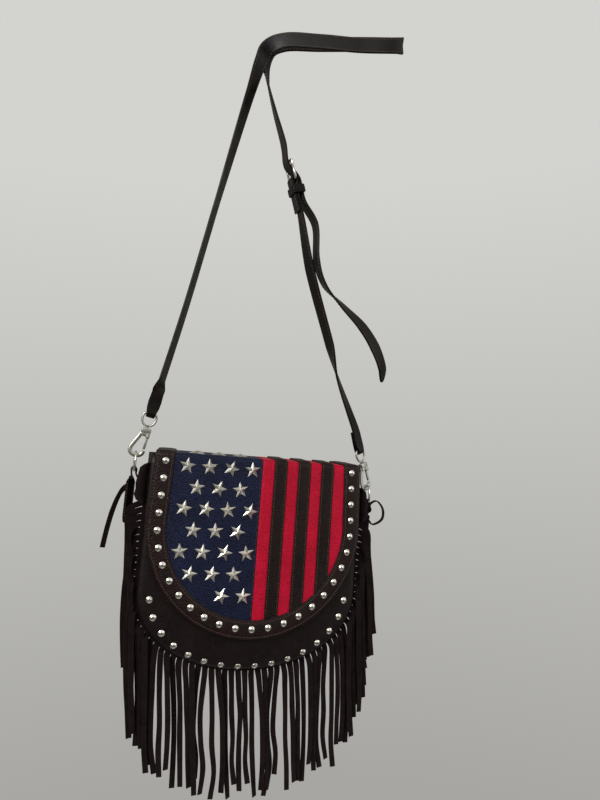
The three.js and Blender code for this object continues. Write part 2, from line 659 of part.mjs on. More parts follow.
const prongRest = BUCKLE_WIRE + SEAT_GAP + PRONG_RADIUS;
function prongBody(radius) {
  const route = [V(2.6, 0, 0.6), V(3, 0, 8), V(prongRest, 0, BUCKLE_LENGTH + 3)];
  return wire(route, radius, { sides: 8 });
}
const barLoop = (radius, half) => wire(
  [V(0, -half, 0), V(0, half, 0)], radius, { up: V(0, 0, 1), sides: 12 });
const prong = prongBody(PRONG_RADIUS).add(barLoop(BUCKLE_WIRE + SEAT_GAP + 1.3, 1.3))
  .subtract(barLoop(BUCKLE_WIRE + SEAT_GAP, 4));
addPiece(buckle, 'buckle_prong', prong, 'nickel');
const prongRoom = [-3, 3, 9, PRONG_RANGE, PRONG_RANGE + 4].map((turn) => prongBody(PRONG_RADIUS + 0.5)
  .rotate([0, turn, 0]));
const loopRoom = barLoop(BUCKLE_WIRE + SEAT_GAP + 1.3 + 0.5, 1.3 + 0.5);
const rowPlace = (solid) => solid.transform(buckle.matrixWorld.toArray());

// Long strap: hook fold, left leg, top loop over two pegs, right leg, buckle and free end
const onHook = (side, y, z) => hooks[side].turned.localToWorld(V(0, y, z));
const onBuckle = (x, z) => buckle.localToWorld(V(x, 0, z));
const layer = STRAP_THICK / 2 + 0.25;
const wrapEye = EYE_WIRE + SEAT_GAP + STRAP_THICK / 2 + WRAP_EASE;

function foldStations(side) {
  const across = hooks[side].turned.localToWorld(V(1, 0, 0)).sub(hooks[side].turned.localToWorld(V(0, 0, 0)));
  const at = (y, z, width) => station(onHook(side, y, z), across.toArray(), width);
  return [
    at(layer + 0.1, EYE_TOP + 25, STRAP_WIDTH * 0.8), at(layer + 0.1, EYE_TOP + 14, STRAP_WIDTH * 0.72),
    at(layer + 0.5, EYE_TOP + 6, STRAP_FOLD_WIDTH + 1),
    ...barTurn(wrapEye, 0, -180).map(([y, z]) => at(y, EYE_TOP + z, STRAP_FOLD_WIDTH)),
    at(-layer - 0.5, EYE_TOP + 6, STRAP_FOLD_WIDTH + 1), at(-layer - 0.1, EYE_TOP + 14, STRAP_WIDTH * 0.72),
    at(-layer - 0.1, EYE_TOP + 25, STRAP_WIDTH * 0.8),
  ];
}

const passBar = BUCKLE_WIRE + SEAT_GAP + STRAP_THICK / 2 + WRAP_EASE;
const passFold = passBar + STRAP_THICK + SEAT_GAP;
const LEG_ACROSS = [0.66, 0.73, -0.2];
const longStations = [
  ...foldStations('left'),
  station(onHook('left', -0.8, EYE_TOP + 40), LEG_ACROSS, STRAP_WIDTH),
  station(V(-106, 0, -329), LEG_ACROSS, STRAP_WIDTH),
  station(V(-69, 0, -201.5), LEG_ACROSS, STRAP_WIDTH),
  station(V(-30, 0, -70), LEG_ACROSS, STRAP_WIDTH),
  station(V(-17, -1, -30), [0.8, 0.5, -0.3], STRAP_WIDTH),
  station(V(-9, -4, -15), [0.75, -0.1, -0.6], STRAP_WIDTH),
  station(V(7, -11.5, -8.5), [0, 0, -1], STRAP_WIDTH),
  station(V(48, -27, -11.5), [0, 0, -1], STRAP_WIDTH),
  station(V(92.5, -43, -17), [0, 0, -1], STRAP_WIDTH),
  station(V(133, -56, -18), [0, 0, -1], STRAP_WIDTH),
  station(V(145, -48, -11), [0, 0, -1], STRAP_WIDTH),
  station(V(139, -36, -4), [0, 0, -1], STRAP_WIDTH),
  station(V(101.5, -22, -2), [0, 0, -1], STRAP_WIDTH),
  station(V(54, -7, -2), [0, 0, -1], STRAP_WIDTH),
  station(V(14, 5, -2), [0.1, 0, -1], STRAP_WIDTH),
  station(V(-3, 11, -8), [0.75, 0.1, -0.65], STRAP_WIDTH),
  station(V(-8.5, 14, -22), [0.95, 0.5, 0], STRAP_WIDTH),
  station(V(-6.5, 12, -46), [0.4, 0.92, 0], STRAP_WIDTH),
  station(V(0.7, 5, -86), [0.2, 0.98, 0], STRAP_WIDTH),
  station(onBuckle(-1.2, 42), [0, 1, 0], STRAP_WIDTH),
  station(onBuckle(-passBar - 0.2, BUCKLE_LENGTH + 2), [0, 1, 0], STRAP_WIDTH),
  station(onBuckle(-passBar + 0.6, BUCKLE_LENGTH - 5), [0, 1, 0], STRAP_WIDTH),
  station(onBuckle(2.8, 8), [0, 1, 0], STRAP_WIDTH),
  station(onBuckle(passFold + 0.2, -0.5), [0, 1, 0], STRAP_WIDTH),
  station(onBuckle(passFold + 0.2, -14), [0, 1, 0], STRAP_WIDTH),
  station(onBuckle(passFold + 0.6, -28), [0, 1, 0], STRAP_WIDTH),
  station(V(50, -3, -222), [0, 1, 0], STRAP_WIDTH),
  station(V(51, -8, -268), [0.1, 1, 0], STRAP_WIDTH),
  station(V(62, -13, -299), [0.2, 0.98, 0.1], STRAP_WIDTH),
  station(V(83, -18, -321), [0.3, 0.9, 0.3], STRAP_WIDTH),
  station(V(110, -22, -347), [0.4, 0.85, 0.3], STRAP_WIDTH),
  station(V(125, -24, -372), [0.5, 0.8, 0.2], STRAP_WIDTH),
  station(V(131, -25, -400), [0.55, 0.8, 0.1], STRAP_WIDTH * 0.95),
  station(V(131, -25, -409), [0.55, 0.8, 0.1], STRAP_WIDTH * 0.4),
];
const longStrap = ribbon(longStations, STRAP_THICK, 2)
  .subtract(rowPlace(wasm.Manifold.union(prongRoom)));
addPiece(root, 'strap_long', longStrap, 'strap');

// Short strap: cut end, fold round the buckle's bar, right leg and the fold on the right hook
const innerLayer = 0;
const cutLayer = -STRAP_THICK - 0.5;
const shortStations = [
  station(onBuckle(cutLayer, -38), [0, 1, 0], STRAP_WIDTH),
  station(onBuckle(cutLayer, -16), [0, 1, 0], STRAP_WIDTH),
  ...barTurn(passBar, 180, 0).map(([x, z]) => station(onBuckle(x, z), [0, 1, 0], STRAP_WIDTH)),
  station(onBuckle(innerLayer + 0.8, -12), [0, 1, 0], STRAP_WIDTH),
  station(onBuckle(innerLayer, -22), [0, 1, 0], STRAP_WIDTH),
  station(onBuckle(innerLayer, -40), [0, 1, 0], STRAP_WIDTH),
  station(V(44.4, 0.4, -276), [0.2, 1, 0], STRAP_WIDTH),
  station(V(70.7, 0.6, -369.7), [0.4, 0.9, 0.1], STRAP_WIDTH),
  station(V(81, 1, -409), [0.6, 0.75, 0.1], STRAP_WIDTH),
  ...foldStations('right').reverse(),
];
const shortStrap = ribbon(shortStations, STRAP_THICK, 2)
  .subtract(rowPlace(wasm.Manifold.union([...prongRoom, loopRoom])));
addPiece(root, 'strap_short', shortStrap, 'strap');

// Keeper: a stitched leather loop round the layers below the buckle
const keeperIn = [-passBar - STRAP_THICK / 2 - SEAT_GAP, passFold + STRAP_THICK / 2 + SEAT_GAP + 0.6];
const keeperHalf = STRAP_WIDTH / 2 + SEAT_GAP + 0.2;
const keeper = boxSolid(
  keeperIn[0] - KEEPER_WALL, keeperIn[1] + KEEPER_WALL, -keeperHalf - KEEPER_WALL, keeperHalf + KEEPER_WALL,
  -KEEPER_DROP, KEEPER_WIDTH - KEEPER_DROP)
  .subtract(boxSolid(keeperIn[0], keeperIn[1], -keeperHalf, keeperHalf, -KEEPER_DROP - 2, 0));
addPiece(buckle, 'keeper', keeper, 'strap');

export default root;
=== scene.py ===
from math import cos, hypot, pi, radians, sin, sqrt, tan

import bmesh
import bpy
import numpy as np
from mathutils import Matrix, Vector


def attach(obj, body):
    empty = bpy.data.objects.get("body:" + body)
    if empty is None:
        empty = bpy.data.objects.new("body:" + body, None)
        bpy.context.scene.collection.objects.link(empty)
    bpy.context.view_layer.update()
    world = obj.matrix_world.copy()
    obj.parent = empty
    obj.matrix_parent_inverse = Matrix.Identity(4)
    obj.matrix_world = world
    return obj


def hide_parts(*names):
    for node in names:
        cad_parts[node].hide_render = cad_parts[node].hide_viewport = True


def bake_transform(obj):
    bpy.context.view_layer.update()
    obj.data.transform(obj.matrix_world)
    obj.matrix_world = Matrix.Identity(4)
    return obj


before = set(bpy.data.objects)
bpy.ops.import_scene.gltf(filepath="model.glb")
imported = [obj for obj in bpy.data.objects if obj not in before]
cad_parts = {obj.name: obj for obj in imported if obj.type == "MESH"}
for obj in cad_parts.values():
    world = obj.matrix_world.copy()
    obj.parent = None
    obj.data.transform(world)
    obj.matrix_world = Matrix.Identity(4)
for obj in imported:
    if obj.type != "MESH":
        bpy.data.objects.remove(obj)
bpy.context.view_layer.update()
scene = bpy.context.scene

# Camera: level, a little above the flap and left of the strap's bend, turned 17.5 degrees to the
# right. The lens was fitted to the grid of star studs.
camera_data = bpy.data.cameras.new("camera")
camera_data.lens = 25.965
camera_data.sensor_width = 36
camera = bpy.data.objects.new("camera", camera_data)
camera.location = (-0.1809, -0.674, -0.4374)
camera.rotation_euler = (radians(90), 0, radians(-17.5))
scene.collection.objects.link(camera)
scene.camera = camera

# Room: a pale painted wall behind, with painted light that makes it a little lighter above, and a plain
# grey towards the room. Metal and leather mirror a room that is lit from above. A pale floor lies far
# below the fringe.
scene.view_settings.view_transform = "Standard"


def linear(hex_colour):
    """An sRGB hex value as linear red, green, blue and alpha."""
    parts = [int(hex_colour[i:i + 2], 16) / 255 for i in (1, 3, 5)]
    return [p / 12.92 if p <= 0.04045 else ((p + 0.055) / 1.055) ** 2.4 for p in parts] + [1]


def node(tree, kind, sockets=None, **settings):
    """Adds a node with its settings, and links or fills its sockets."""
    made = tree.nodes.new(kind)
    for key, value in settings.items():
        setattr(made, key, value)
    for key, value in (sockets or {}).items():
        if isinstance(value, bpy.types.NodeSocket):
            tree.links.new(value, made.inputs[key])
        else:
            made.inputs[key].default_value = value
    return made


def between(tree, share, first, second):
    """The socket of a colour between two, each a hex value or a socket."""
    ends = [linear(end) if isinstance(end, str) else end for end in (first, second)]
    mix = node(tree, "ShaderNodeMix", {"Factor": share, 6: ends[0], 7: ends[1]}, data_type="RGBA")
    return mix.outputs[2]


def ramp(tree, value, start, stop, first=0.0, last=1.0):
    """The socket of a value that goes from first to last while the given one goes from start to stop."""
    return node(tree, "ShaderNodeMapRange", {
        "Value": value, "From Min": start, "From Max": stop, "To Min": first, "To Max": last}).outputs[0]


world = bpy.data.worlds.new("room")
scene.world = world
world.use_nodes = True
room = world.node_tree
room.nodes.clear()
heading = node(room, "ShaderNodeTexCoord")
compass = node(room, "ShaderNodeSeparateXYZ", {"Vector": heading.outputs["Generated"]})
facing = ramp(room, compass.outputs["Y"], -0.7, 0.35)
height = ramp(room, compass.outputs["Z"], -0.55, 0.35)
ceiling = ramp(room, compass.outputs["Z"], 0.12, 0.55)
# Painted light: the wall's colour grows lighter towards the top, as if lit from above.
wall_paint_and_light = between(room, facing, "#9d9b96", between(room, height, "#a7a6a2", "#d3d3cf"))
mirrored = between(room, facing, between(room, ceiling, "#5c5a55", "#f8f6ee"), "#868581")
seen = node(room, "ShaderNodeLightPath")
direct = seen.outputs["Is Camera Ray"]
for ray in ("Is Glossy Ray", "Is Transmission Ray"):
    direct = node(room, "ShaderNodeMath", {0: direct, 1: seen.outputs[ray]}, operation="MAXIMUM").outputs[0]
soft_light = node(room, "ShaderNodeBackground", {"Color": linear("#eef1f5"), "Strength": 0.36})
backdrop = node(room, "ShaderNodeBackground", {
    "Color": between(room, seen.outputs["Is Glossy Ray"], wall_paint_and_light, mirrored), "Strength": 1})
either = node(room, "ShaderNodeMixShader", {0: direct, 1: soft_light.outputs[0], 2: backdrop.outputs[0]})
node(room, "ShaderNodeOutputWorld", {"Surface": either.outputs[0]})

for lamp_name, power, size, place in (
        ("window", 34, 1.1, (-1.5, -1.4, 0.8)),
        ("room_fill", 9, 1.6, (1.7, -1.2, -0.2)),
        ("back_fill", 9, 1.5, (0.6, 1.9, -0.4))):
    lamp_data = bpy.data.lights.new(lamp_name, "AREA")
    lamp_data.energy = power
    lamp_data.size = size
    lamp = bpy.data.objects.new(lamp_name, lamp_data)
    lamp.location = place
    aim = Vector((-0.02, 0, -0.55)) - lamp.location
    lamp.rotation_euler = aim.to_track_quat("-Z", "Y").to_euler()
    lamp.visible_glossy = lamp_name != "back_fill"
    scene.collection.objects.link(lamp)

floor_mesh = bpy.data.meshes.new("floor")
ring = [(0.62 * cos(i * pi / 32), 0.62 * sin(i * pi / 32), 0) for i in range(64)]
floor_mesh.from_pydata(ring, [], [list(range(64))])
floor = bpy.data.objects.new("floor", floor_mesh)
floor.location = (-0.02, 0, -1.32)
scene.collection.objects.link(floor)
# Matt floor paint: pale and even, and clear towards the rim, so that the floor shows no edge.
floor_paint = bpy.data.materials.new("matt_floor_paint")
floor_paint.use_nodes = True
floor_tree = floor_paint.node_tree
floor_place = node(floor_tree, "ShaderNodeTexCoord")
floor_far = node(floor_tree, "ShaderNodeVectorMath", {0: floor_place.outputs["Object"]}, operation="LENGTH")
floor_fade = ramp(floor_tree, floor_far.outputs["Value"], 0.35, 0.6, 1, 0)
floor_shader = floor_tree.nodes["Principled BSDF"]
floor_shader.inputs["Base Color"].default_value = linear("#cbcac6")
floor_shader.inputs["Roughness"].default_value = 0.9
floor_tree.links.new(floor_fade, floor_shader.inputs["Alpha"])
floor_mesh.materials.append(floor_paint)

# Back and front panel: smooth chrome-tanned cowhide, waxed dark brown, its edge turned back and sewn
# to the gusset. The two are one U shape; the front leans out towards its lower edge.
BAG_TILT, LEAN_ANGLE = radians(6.1), radians(6.2)
BAG = Matrix.Translation((-0.019, 0, -0.506)) @ Matrix.Rotation(BAG_TILT, 4, "Y")
BAG_DOWN = np.array([sin(BAG_TILT), 0, -cos(BAG_TILT)])
LEAN = tan(LEAN_ANGLE)
HALF_WIDTH, SIDE, CORNER, ROUNDNESS = 128, 150, 87, 2.1
PANEL_THICK = 2.2
BACK_Y, RIM_DEEP = 20, 8
MOUTH_Z = -5


def start_material(name, values):
    """A new material with constants on its shader: its node tree, its shader and the place on the piece
    in metres."""
    material = bpy.data.materials.new(name)
    material.use_nodes = True
    tree = material.node_tree
    shader = tree.nodes["Principled BSDF"]
    for socket, value in values.items():
        shader.inputs[socket].default_value = value
    return material, tree, shader, node(tree, "ShaderNodeTexCoord").outputs["Object"]


def noise(tree, place, size_mm, detail, **sockets):
    """The socket of a soft noise with clouds of about size_mm."""
    values = {"Vector": place, "Scale": 1000 / size_mm, "Detail": detail, **sockets}
    return node(tree, "ShaderNodeTexNoise", values).outputs["Fac"]


def surface(tree, shader, colour, relief, relief_mm, strength, gloss=None):
    """Gives a shader its colour, a bump of relief_mm and, if it varies, its roughness."""
    bump = node(tree, "ShaderNodeBump", {
        "Height": relief, "Distance": relief_mm / 1000, "Strength": strength})
    tree.links.new(colour, shader.inputs["Base Color"])
    tree.links.new(bump.outputs[0], shader.inputs["Normal"])
    if gloss is not None:
        tree.links.new(gloss, shader.inputs["Roughness"])


# Waxed cowhide: pores of about 0.8 mm drawn at 1.2 mm so that they show, soft cloudy colour, and a
# broken sheen where the wax is rubbed.
panel_leather, tree, shader, place = start_material("waxed_brown_cowhide", {
    "Roughness": 0.42, "IOR": 1.5, "Specular IOR Level": 0.3})
pores = node(tree, "ShaderNodeTexVoronoi", {"Vector": place, "Scale": 1000 / 1.2, "Randomness": 0.9})
clouds = noise(tree, place, 30, 5)
creases = noise(tree, place, 9, 6, Roughness=0.65, Distortion=1.2)
relief = node(tree, "ShaderNodeMath", {
    0: pores.outputs["Distance"], 1: -0.35, 2: creases}, operation="MULTIPLY_ADD")
surface(tree, shader, between(tree, clouds, "#0c0606", "#1d100f"), relief.outputs[0], 0.3, 0.6,
        ramp(tree, creases, 0.3, 0.7, 0.32, 0.55))


def skin(rows, wrap=False, ring=False, cap=False):
    """Joins rows of points with four-sided faces; wrap closes each row, ring joins the last row to the
    first, and cap closes the two ends of a wrapped skin."""
    count = len(rows[0])
    faces = []
    for i in range(len(rows) if ring else len(rows) - 1):
        low, high = i * count, (i + 1) % len(rows) * count
        for j in range(count if wrap else count - 1):
            k = (j + 1) % count
            faces.append((low + j, low + k, high + k, high + j))
    if cap:
        for start, flip in ((0, 1), ((len(rows) - 1) * count, -1)):
            for j in range(count // 2 - 1):
                faces.append([start + n for n in (j, j + 1, count - 2 - j, count - 1 - j)][::flip])
    return [tuple(point) for row in rows for point in row], faces


def piece(name, shapes, material, body, stands_for=(), space=BAG, sharp=38, thicken=0):
    """Makes one object from skins in millimetres, puts it in its space and hands it to its body; where body
    is (body, body, start, end), it only bakes its space into the mesh and hands it to no body."""
    points, faces = [], []
    for shape_points, shape_faces in shapes:
        faces += [[n + len(points) for n in face] for face in shape_faces]
        points += shape_points
    mesh = bpy.data.meshes.new(name)
    mesh.from_pydata([(x / 1000, y / 1000, z / 1000) for x, y, z in points], [], faces)
    tidy = bmesh.new()
    tidy.from_mesh(mesh)
    bmesh.ops.remove_doubles(tidy, verts=tidy.verts, dist=0.00002)
    bmesh.ops.recalc_face_normals(tidy, faces=tidy.faces)
    tidy.to_mesh(mesh)
    tidy.free()
    mesh.shade_smooth()
    mesh.set_sharp_from_angle(angle=radians(sharp))
    mesh.materials.append(material)
    made = bpy.data.objects.new(name, mesh)
    scene.collection.objects.link(made)
    made.matrix_world = space
    if thicken:
        solid = made.modifiers.new("leather_thickness", "SOLIDIFY")
        solid.thickness = abs(thicken) / 1000
        solid.offset = 1 if thicken > 0 else -1
    if isinstance(body, str):
        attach(made, body)
    else:
        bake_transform(made)
    if stands_for:
        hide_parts(*stands_for)
    return made


def pouch_edge(inset, base_inset=None):
    """The U outline of the pouch, from the top left down and round to the top right."""
    half, drop, top = HALF_WIDTH - inset, CORNER - (inset if base_inset is None else base_inset), MOUTH_Z
    left = [(-half, top - (top + SIDE) * i / 15) for i in range(15)]
    bend = []
    for i in range(73):
        c, s = cos(pi * i / 72), sin(pi * i / 72)
        across = (1 if c > 0 else -1) * abs(c) ** (2 / ROUNDNESS)
        bend.append((-half * across, -SIDE - drop * abs(s) ** (2 / ROUNDNESS)))
    return left + bend + [(-x, z) for x, z in reversed(left)]


def front_y(z):
    """Where the front panel's face lies at height z."""
    return BACK_Y - 33.4 + LEAN * z


RIM_WIDE = 14
RIM = ((RIM_WIDE, 0), (11, 0.006), (8.5, 0.02), (6.4, 0.05), (4.6, 0.1), (3.1, 0.19), (1.9, 0.32), (0.9, 0.5),
       (0.25, 0.74), (0, 1))


def panel(face_y, inward, swell):
    """A panel's outside: the turned rim, and a face that swells a little between its edges."""
    rim = []
    for inset, share in RIM:
        rim.append([(x, face_y(z) + inward * RIM_DEEP * share, z) for x, z in pouch_edge(inset)])
    edge = pouch_edge(RIM_WIDE)
    face = []
    for i in range(len(edge) // 2 + 1):
        x, z = abs(edge[i][0]), edge[i][1]
        row = []
        for j in range(33):
            f = j / 16 - 1
            pillow = swell * (1 - f ** 4) * max(0, min(1, (z + 223) / 40)) * (0.6 + 0.4 * sin(z / 37 + f))
            row.append((x * f, face_y(z) - inward * pillow, z))
        face.append(row)
    return [skin(rim), skin(face)]


def unit(vector):
    return vector / np.linalg.norm(vector)


def lathe(centre, axis, profile, sides=24, spin=0.0):
    """Turns a profile of (radius, height) round an axis; the first and last rings are closed if they
    have no radius."""
    axis = unit(np.array(axis, float))
    side = unit(np.cross(axis, (0.13, 0.31, 0.94)))
    other = np.cross(axis, side)
    rows = []
    for radius, lift in profile:
        rows.append([np.array(centre) + axis * lift
                     + radius * (cos(a) * side + sin(a) * other)
                     for a in (spin + 2 * pi * k / sides for k in range(sides))])
    return skin(rows, wrap=True)


def even_spots(edge, first, pitch, count):
    """Points and outward directions at even steps along an outline."""
    found, walked, wanted = [], 0.0, first
    for (ax, az), (bx, bz) in zip(edge, edge[1:]):
        length = hypot(bx - ax, bz - az)
        while length and wanted <= walked + length and len(found) < count:
            share = (wanted - walked) / length
            found.append((ax + (bx - ax) * share, az + (bz - az) * share,
                          (bz - az) / length, -(bx - ax) / length))
            wanted += pitch
        walked += length
    return found


def edge_length(edge):
    return sum(hypot(bx - ax, bz - az) for (ax, az), (bx, bz) in zip(edge, edge[1:]))


piece("back_panel_leather", panel(lambda z: BACK_Y, -1, 0.0), panel_leather, "bag",
      ["back_panel"], thicken=-PANEL_THICK)
piece("front_panel_leather", panel(front_y, 1, 0.9), panel_leather, "bag",
      ["front_panel"], thicken=-PANEL_THICK)

# Dome studs: pressed nickel-plated steel, clenched through the leather about every 19 mm. The plating
# is bright and slightly warm, and handling has left it faintly clouded.
nickel, tree, shader, place = start_material("bright_nickel_plate", {"Roughness": 0.2, "Metallic": 1})
haze = noise(tree, place, 4, 4)
surface(tree, shader, between(tree, haze, "#e2dfd4", "#f5f2e8"), haze, 0.1, 0.35,
        ramp(tree, haze, 0.35, 0.7, 0.14, 0.34))

STUD = ((3.75, -0.5), (3.75, 0.2), (3.5, 0.55), (2.95, 0.72), (2.6, 1.15), (2.0, 1.55), (1.2, 1.82),
        (0, 1.95))
PANEL_STUDS, PANEL_STUD_PITCH = 16, 19.5
panel_studs = []
stud_edge = pouch_edge(RIM_WIDE, 5)
stud_start = (edge_length(stud_edge) - (PANEL_STUDS - 1) * PANEL_STUD_PITCH) / 2
for x, z, nx, nz in even_spots(stud_edge, stud_start, PANEL_STUD_PITCH, PANEL_STUDS):
    roll = 0.55 * max(0, -nz) ** 3
    centre, axis = (x, front_y(z) + 1.2 * roll, z), (0.3 * roll * nx, -1, LEAN + roll * nz)
    panel_studs.append(lathe(centre, axis, STUD, spin=x))
piece("panel_studs", panel_studs, nickel, "bag", sharp=50)

# Gusset: the suede band that joins the two panels, 15 mm wide at the mouth and 41 mm at the base. It
# is sewn in on both edges, so it draws in a little between them.
# Split suede: a nap of about 0.5 mm that scatters light at its edge, with paler strokes where it was
# brushed the other way.
suede, tree, shader, place = start_material("brushed_split_suede", {
    "Roughness": 0.95, "IOR": 1.45, "Specular IOR Level": 0.2, "Sheen Weight": 0.11, "Sheen Roughness": 0.5,
    "Sheen Tint": linear("#c9a8a0")})
nap = node(tree, "ShaderNodeMath", {
    0: noise(tree, place, 0.9, 6, Roughness=0.7), 1: 0.45, 2: noise(tree, place, 11, 4, Distortion=0.8)},
    operation="MULTIPLY_ADD").outputs[0]
surface(tree, shader, between(tree, ramp(tree, nap, 0.5, 0.95), "#090405", "#201213"), nap, 0.4, 0.7)


def header_y(z):
    """Where the seam of gusset and fringe lies behind the front panel's rim."""
    return front_y(z) + RIM_DEEP + 0.3


gusset_rows = []
for share in (0, 0.08, 0.2, 0.35, 0.5, 0.65, 0.8, 0.92, 1):
    belly = 4 * share * (1 - share)
    gusset_rows.append([
        (x, (header_y(z) + 1.7) * (1 - share) + 11.7 * share, z + 0.5 * sin(k * 1.3) * belly)
        for k, (x, z) in enumerate(pouch_edge(1 + 2.2 * belly ** 0.7))])
gusset_shapes = [skin(gusset_rows)]
# The suede puffs out in front of each tab, from below the mouth to the first fringe strip, and is
# tucked in behind the panel's rim.
PUFF_ROOT, PUFF_SIDES = 128.5, 14
for sign, high, low in ((-1, -15, -60), (1, -27, -71)):
    rows = []
    for share in (0, 0.04, 0.12, 0.24, 0.36, 0.5, 0.64, 0.78, 0.9, 0.97, 1):
        z = high * (1 - share) + low * share
        wide = (8.4 + 3.6 * share + 0.6 * sin(share * 17)) * (1 - abs(2 * share - 1) ** 6) + 1.2
        plump = 2.5 + 0.3 * sin(share * 23)
        row = []
        for n in range(PUFF_SIDES):
            t = 2 * pi * n / PUFF_SIDES
            tucked = max(0, cos(t)) ** 3
            out = PUFF_ROOT + wide / 2 * (1 - cos(t)) * (1 + 0.05 * sin(3 * t)) - 1.1 * tucked
            row.append((sign * out, header_y(z) - 4.4 + plump * sin(t) + 5.4 * tucked, z))
        rows.append(row)
    gusset_shapes.append(skin(rows, wrap=True, cap=True))
piece("gusset_suede", gusset_shapes, suede, "bag", ["gusset"], thicken=-PANEL_THICK)

# Fringe: one suede band 8.5 mm wide, sewn into the front seam and cut into strips about 6 mm wide and
# 140 mm long. Each strip leaves the seam outwards, turns over and hangs.


def smooth_route(stops, steps):
    """Points on a smooth curve through the stops, with steps points for each stretch."""
    p = [np.array(s, float) for s in stops]
    p = [2 * p[0] - p[1]] + p + [2 * p[-1] - p[-2]]
    route = []
    for i in range(1, len(p) - 2):
        d0, d1, d2 = (max(np.linalg.norm(p[i + k] - p[i + k - 1]), 1e-6) ** 0.5 for k in (0, 1, 2))
        t1 = d1 * ((p[i] - p[i - 1]) / d0 - (p[i + 1] - p[i - 1]) / (d0 + d1) + (p[i + 1] - p[i]) / d1)
        t2 = d1 * ((p[i + 1] - p[i]) / d1 - (p[i + 2] - p[i]) / (d1 + d2) + (p[i + 2] - p[i + 1]) / d2)
        a = 2 * p[i] - 2 * p[i + 1] + t1 + t2
        b = -3 * p[i] + 3 * p[i + 1] - 2 * t1 - t2
        last = i == len(p) - 3
        for k in range(steps + 1 if last else steps):
            t = k / steps
            route.append(a * t ** 3 + b * t * t + t1 * t + p[i])
    return route


def strap_frames(stops, steps):
    """Point, width direction, face direction and half width at each step of a strap; a stop is
    (point, width direction, width)."""
    route = smooth_route([s[0] for s in stops], steps)
    frames = []
    for i, at in enumerate(route):
        low = min(i // steps, len(stops) - 2)
        mix = i / steps - low
        along = unit(route[min(i + 1, len(route) - 1)] - route[max(i - 1, 0)])
        ends = [unit(np.array(stops[low + k][1], float)) for k in (0, 1)]
        side = ends[0] * (1 - mix) + ends[1] * mix
        side = unit(side - along * np.dot(side, along))
        half = (stops[low][2] * (1 - mix) + stops[low + 1][2] * mix) / 2
        frames.append((at, side, np.cross(along, side), half))
    return frames


def strap_skin(frames, thick, crown=0.0, round_off=0.3):
    """A closed strap with softened edges; crown lifts the middle of both faces."""
    rows = []
    for at, side, face, half in frames:
        r = thick * round_off
        h = thick / 2
        section = [(-half, 0.4 * h), (-half + r, h), (0, h + crown), (half - r, h), (half, 0.4 * h),
                   (half, -0.4 * h), (half - r, -h), (0, -h - crown), (-half + r, -h), (-half, -0.4 * h)]
        rows.append([at + side * a + face * b for a, b in section])
    return skin(rows, wrap=True, cap=True)


STRIP_PITCH, STRIP_LONG, STRIP_WIDE = 7.5, 140, 6.4
FIRST_ROOT, LAST_ROOT = 55, 68
seam_edge = pouch_edge(0)
strip_count = int((edge_length(seam_edge) - FIRST_ROOT - LAST_ROOT) // STRIP_PITCH) + 1
roots = even_spots(seam_edge, FIRST_ROOT, STRIP_PITCH, strip_count)


def fringe_strip(root, index):
    """One strip: a short way out from its root, and then down in slow waves."""
    x, z, nx, nz = root
    header = header_y(z) + 0.7
    layer = -(index % 4) * 1.9
    reach = 6 + 0.13 * max(0, z + SIDE)
    length = STRIP_LONG + 8 * sin(index * 2.4) + 5 * sin(index * 5.1)
    out = np.array([nx, 0, nz])
    start = np.array([x, header, z])
    bend = start + out * reach
    wave = 1.5 * sin(index * 1.7) + 1.1 * sin(index * 4.9) + 3.2 * sin(index * 0.83)
    loose = 1 - 0.6 * abs(nx)
    flare = (9 if nx > 0 else 5) * nx * max(0, z + 175) / 110
    stops = [start - out, start + out * min(4, reach / 2)]
    for along, lateral, swing in (
            (reach * 0.45, -nx * 0.6, 0), (reach * 0.9 + 14, wave * 0.4, 0.3 * sin(index * 3.1)),
            (length * 0.33, wave * 0.9 + 0.7 * sin(index * 4.3) * loose, 0.7 * sin(index * 2.7)),
            (length * 0.55, wave + 0.8 * sin(index * 2.9) * loose, 0.8 * sin(index * 1.9)),
            (length * 0.76, wave * 0.8 + 2.2 * sin(index * 5.9) * loose, 1.2 * sin(index * 3.7) * loose),
            (length - reach, wave * 0.6 + 3.2 * sin(index * 7.3) * loose, 1.6 * sin(index * 6.1) * loose)):
        spread = flare * (along / length) ** 1.3
        stops.append(bend + BAG_DOWN * along + np.array([lateral + spread, layer + swing * 0.5, 0]))
    stations = []
    for k, stop in enumerate(stops):
        along = unit(stops[min(k + 1, len(stops) - 1)] - stops[max(k - 1, 0)])
        across = unit(np.cross(along, (0, 1, 0)))
        turn = radians(34) * loose * loose * max(0, k - 2) / 5 * sin(index * 2.1 + k * 0.9)
        wide = STRIP_WIDE - 0.8 * abs(sin(index * 1.3 + k)) + (1.1, 1.0, 0.7, 0.1, 0, 0, 0, 0)[k]
        stations.append((stop, across * cos(turn) + np.cross(along, across) * sin(turn), wide))
    return strap_skin(strap_frames(stations, 4), 1.3, round_off=0.2)


for name, holds in (
        ("left", lambda x: x < -70), ("bottom", lambda x: abs(x) <= 70), ("right", lambda x: x > 70)):
    own = [(i, root) for i, root in enumerate(roots) if holds(root[0])]
    shapes = [fringe_strip(root, min(i, strip_count - 1 - i)) for i, root in own]
    band = []
    seam = [own[0][1], *(root for _, root in own), own[-1][1]]
    for k, (x, z, nx, nz) in enumerate(seam):
        slide = {0: 3.4, len(seam) - 1: -3.4}.get(k, 0)
        x, z = x + slide * nz, z - slide * nx
        loop = []
        for inset, deep in ((-2.5, 0), (0, 0), (3, 0), (6, 0), (6, 1.4), (3, 1.4), (0, 1.4), (-2.5, 1.4)):
            zz = z - nz * inset
            loop.append((x - nx * inset, header_y(zz) + deep, zz))
        band.append(loop)
    shapes.append(skin(band, wrap=True, cap=True))
    piece(f"suede_fringe_{name}", shapes, suede, "bag", [f"fringe_{name}"], sharp=50)

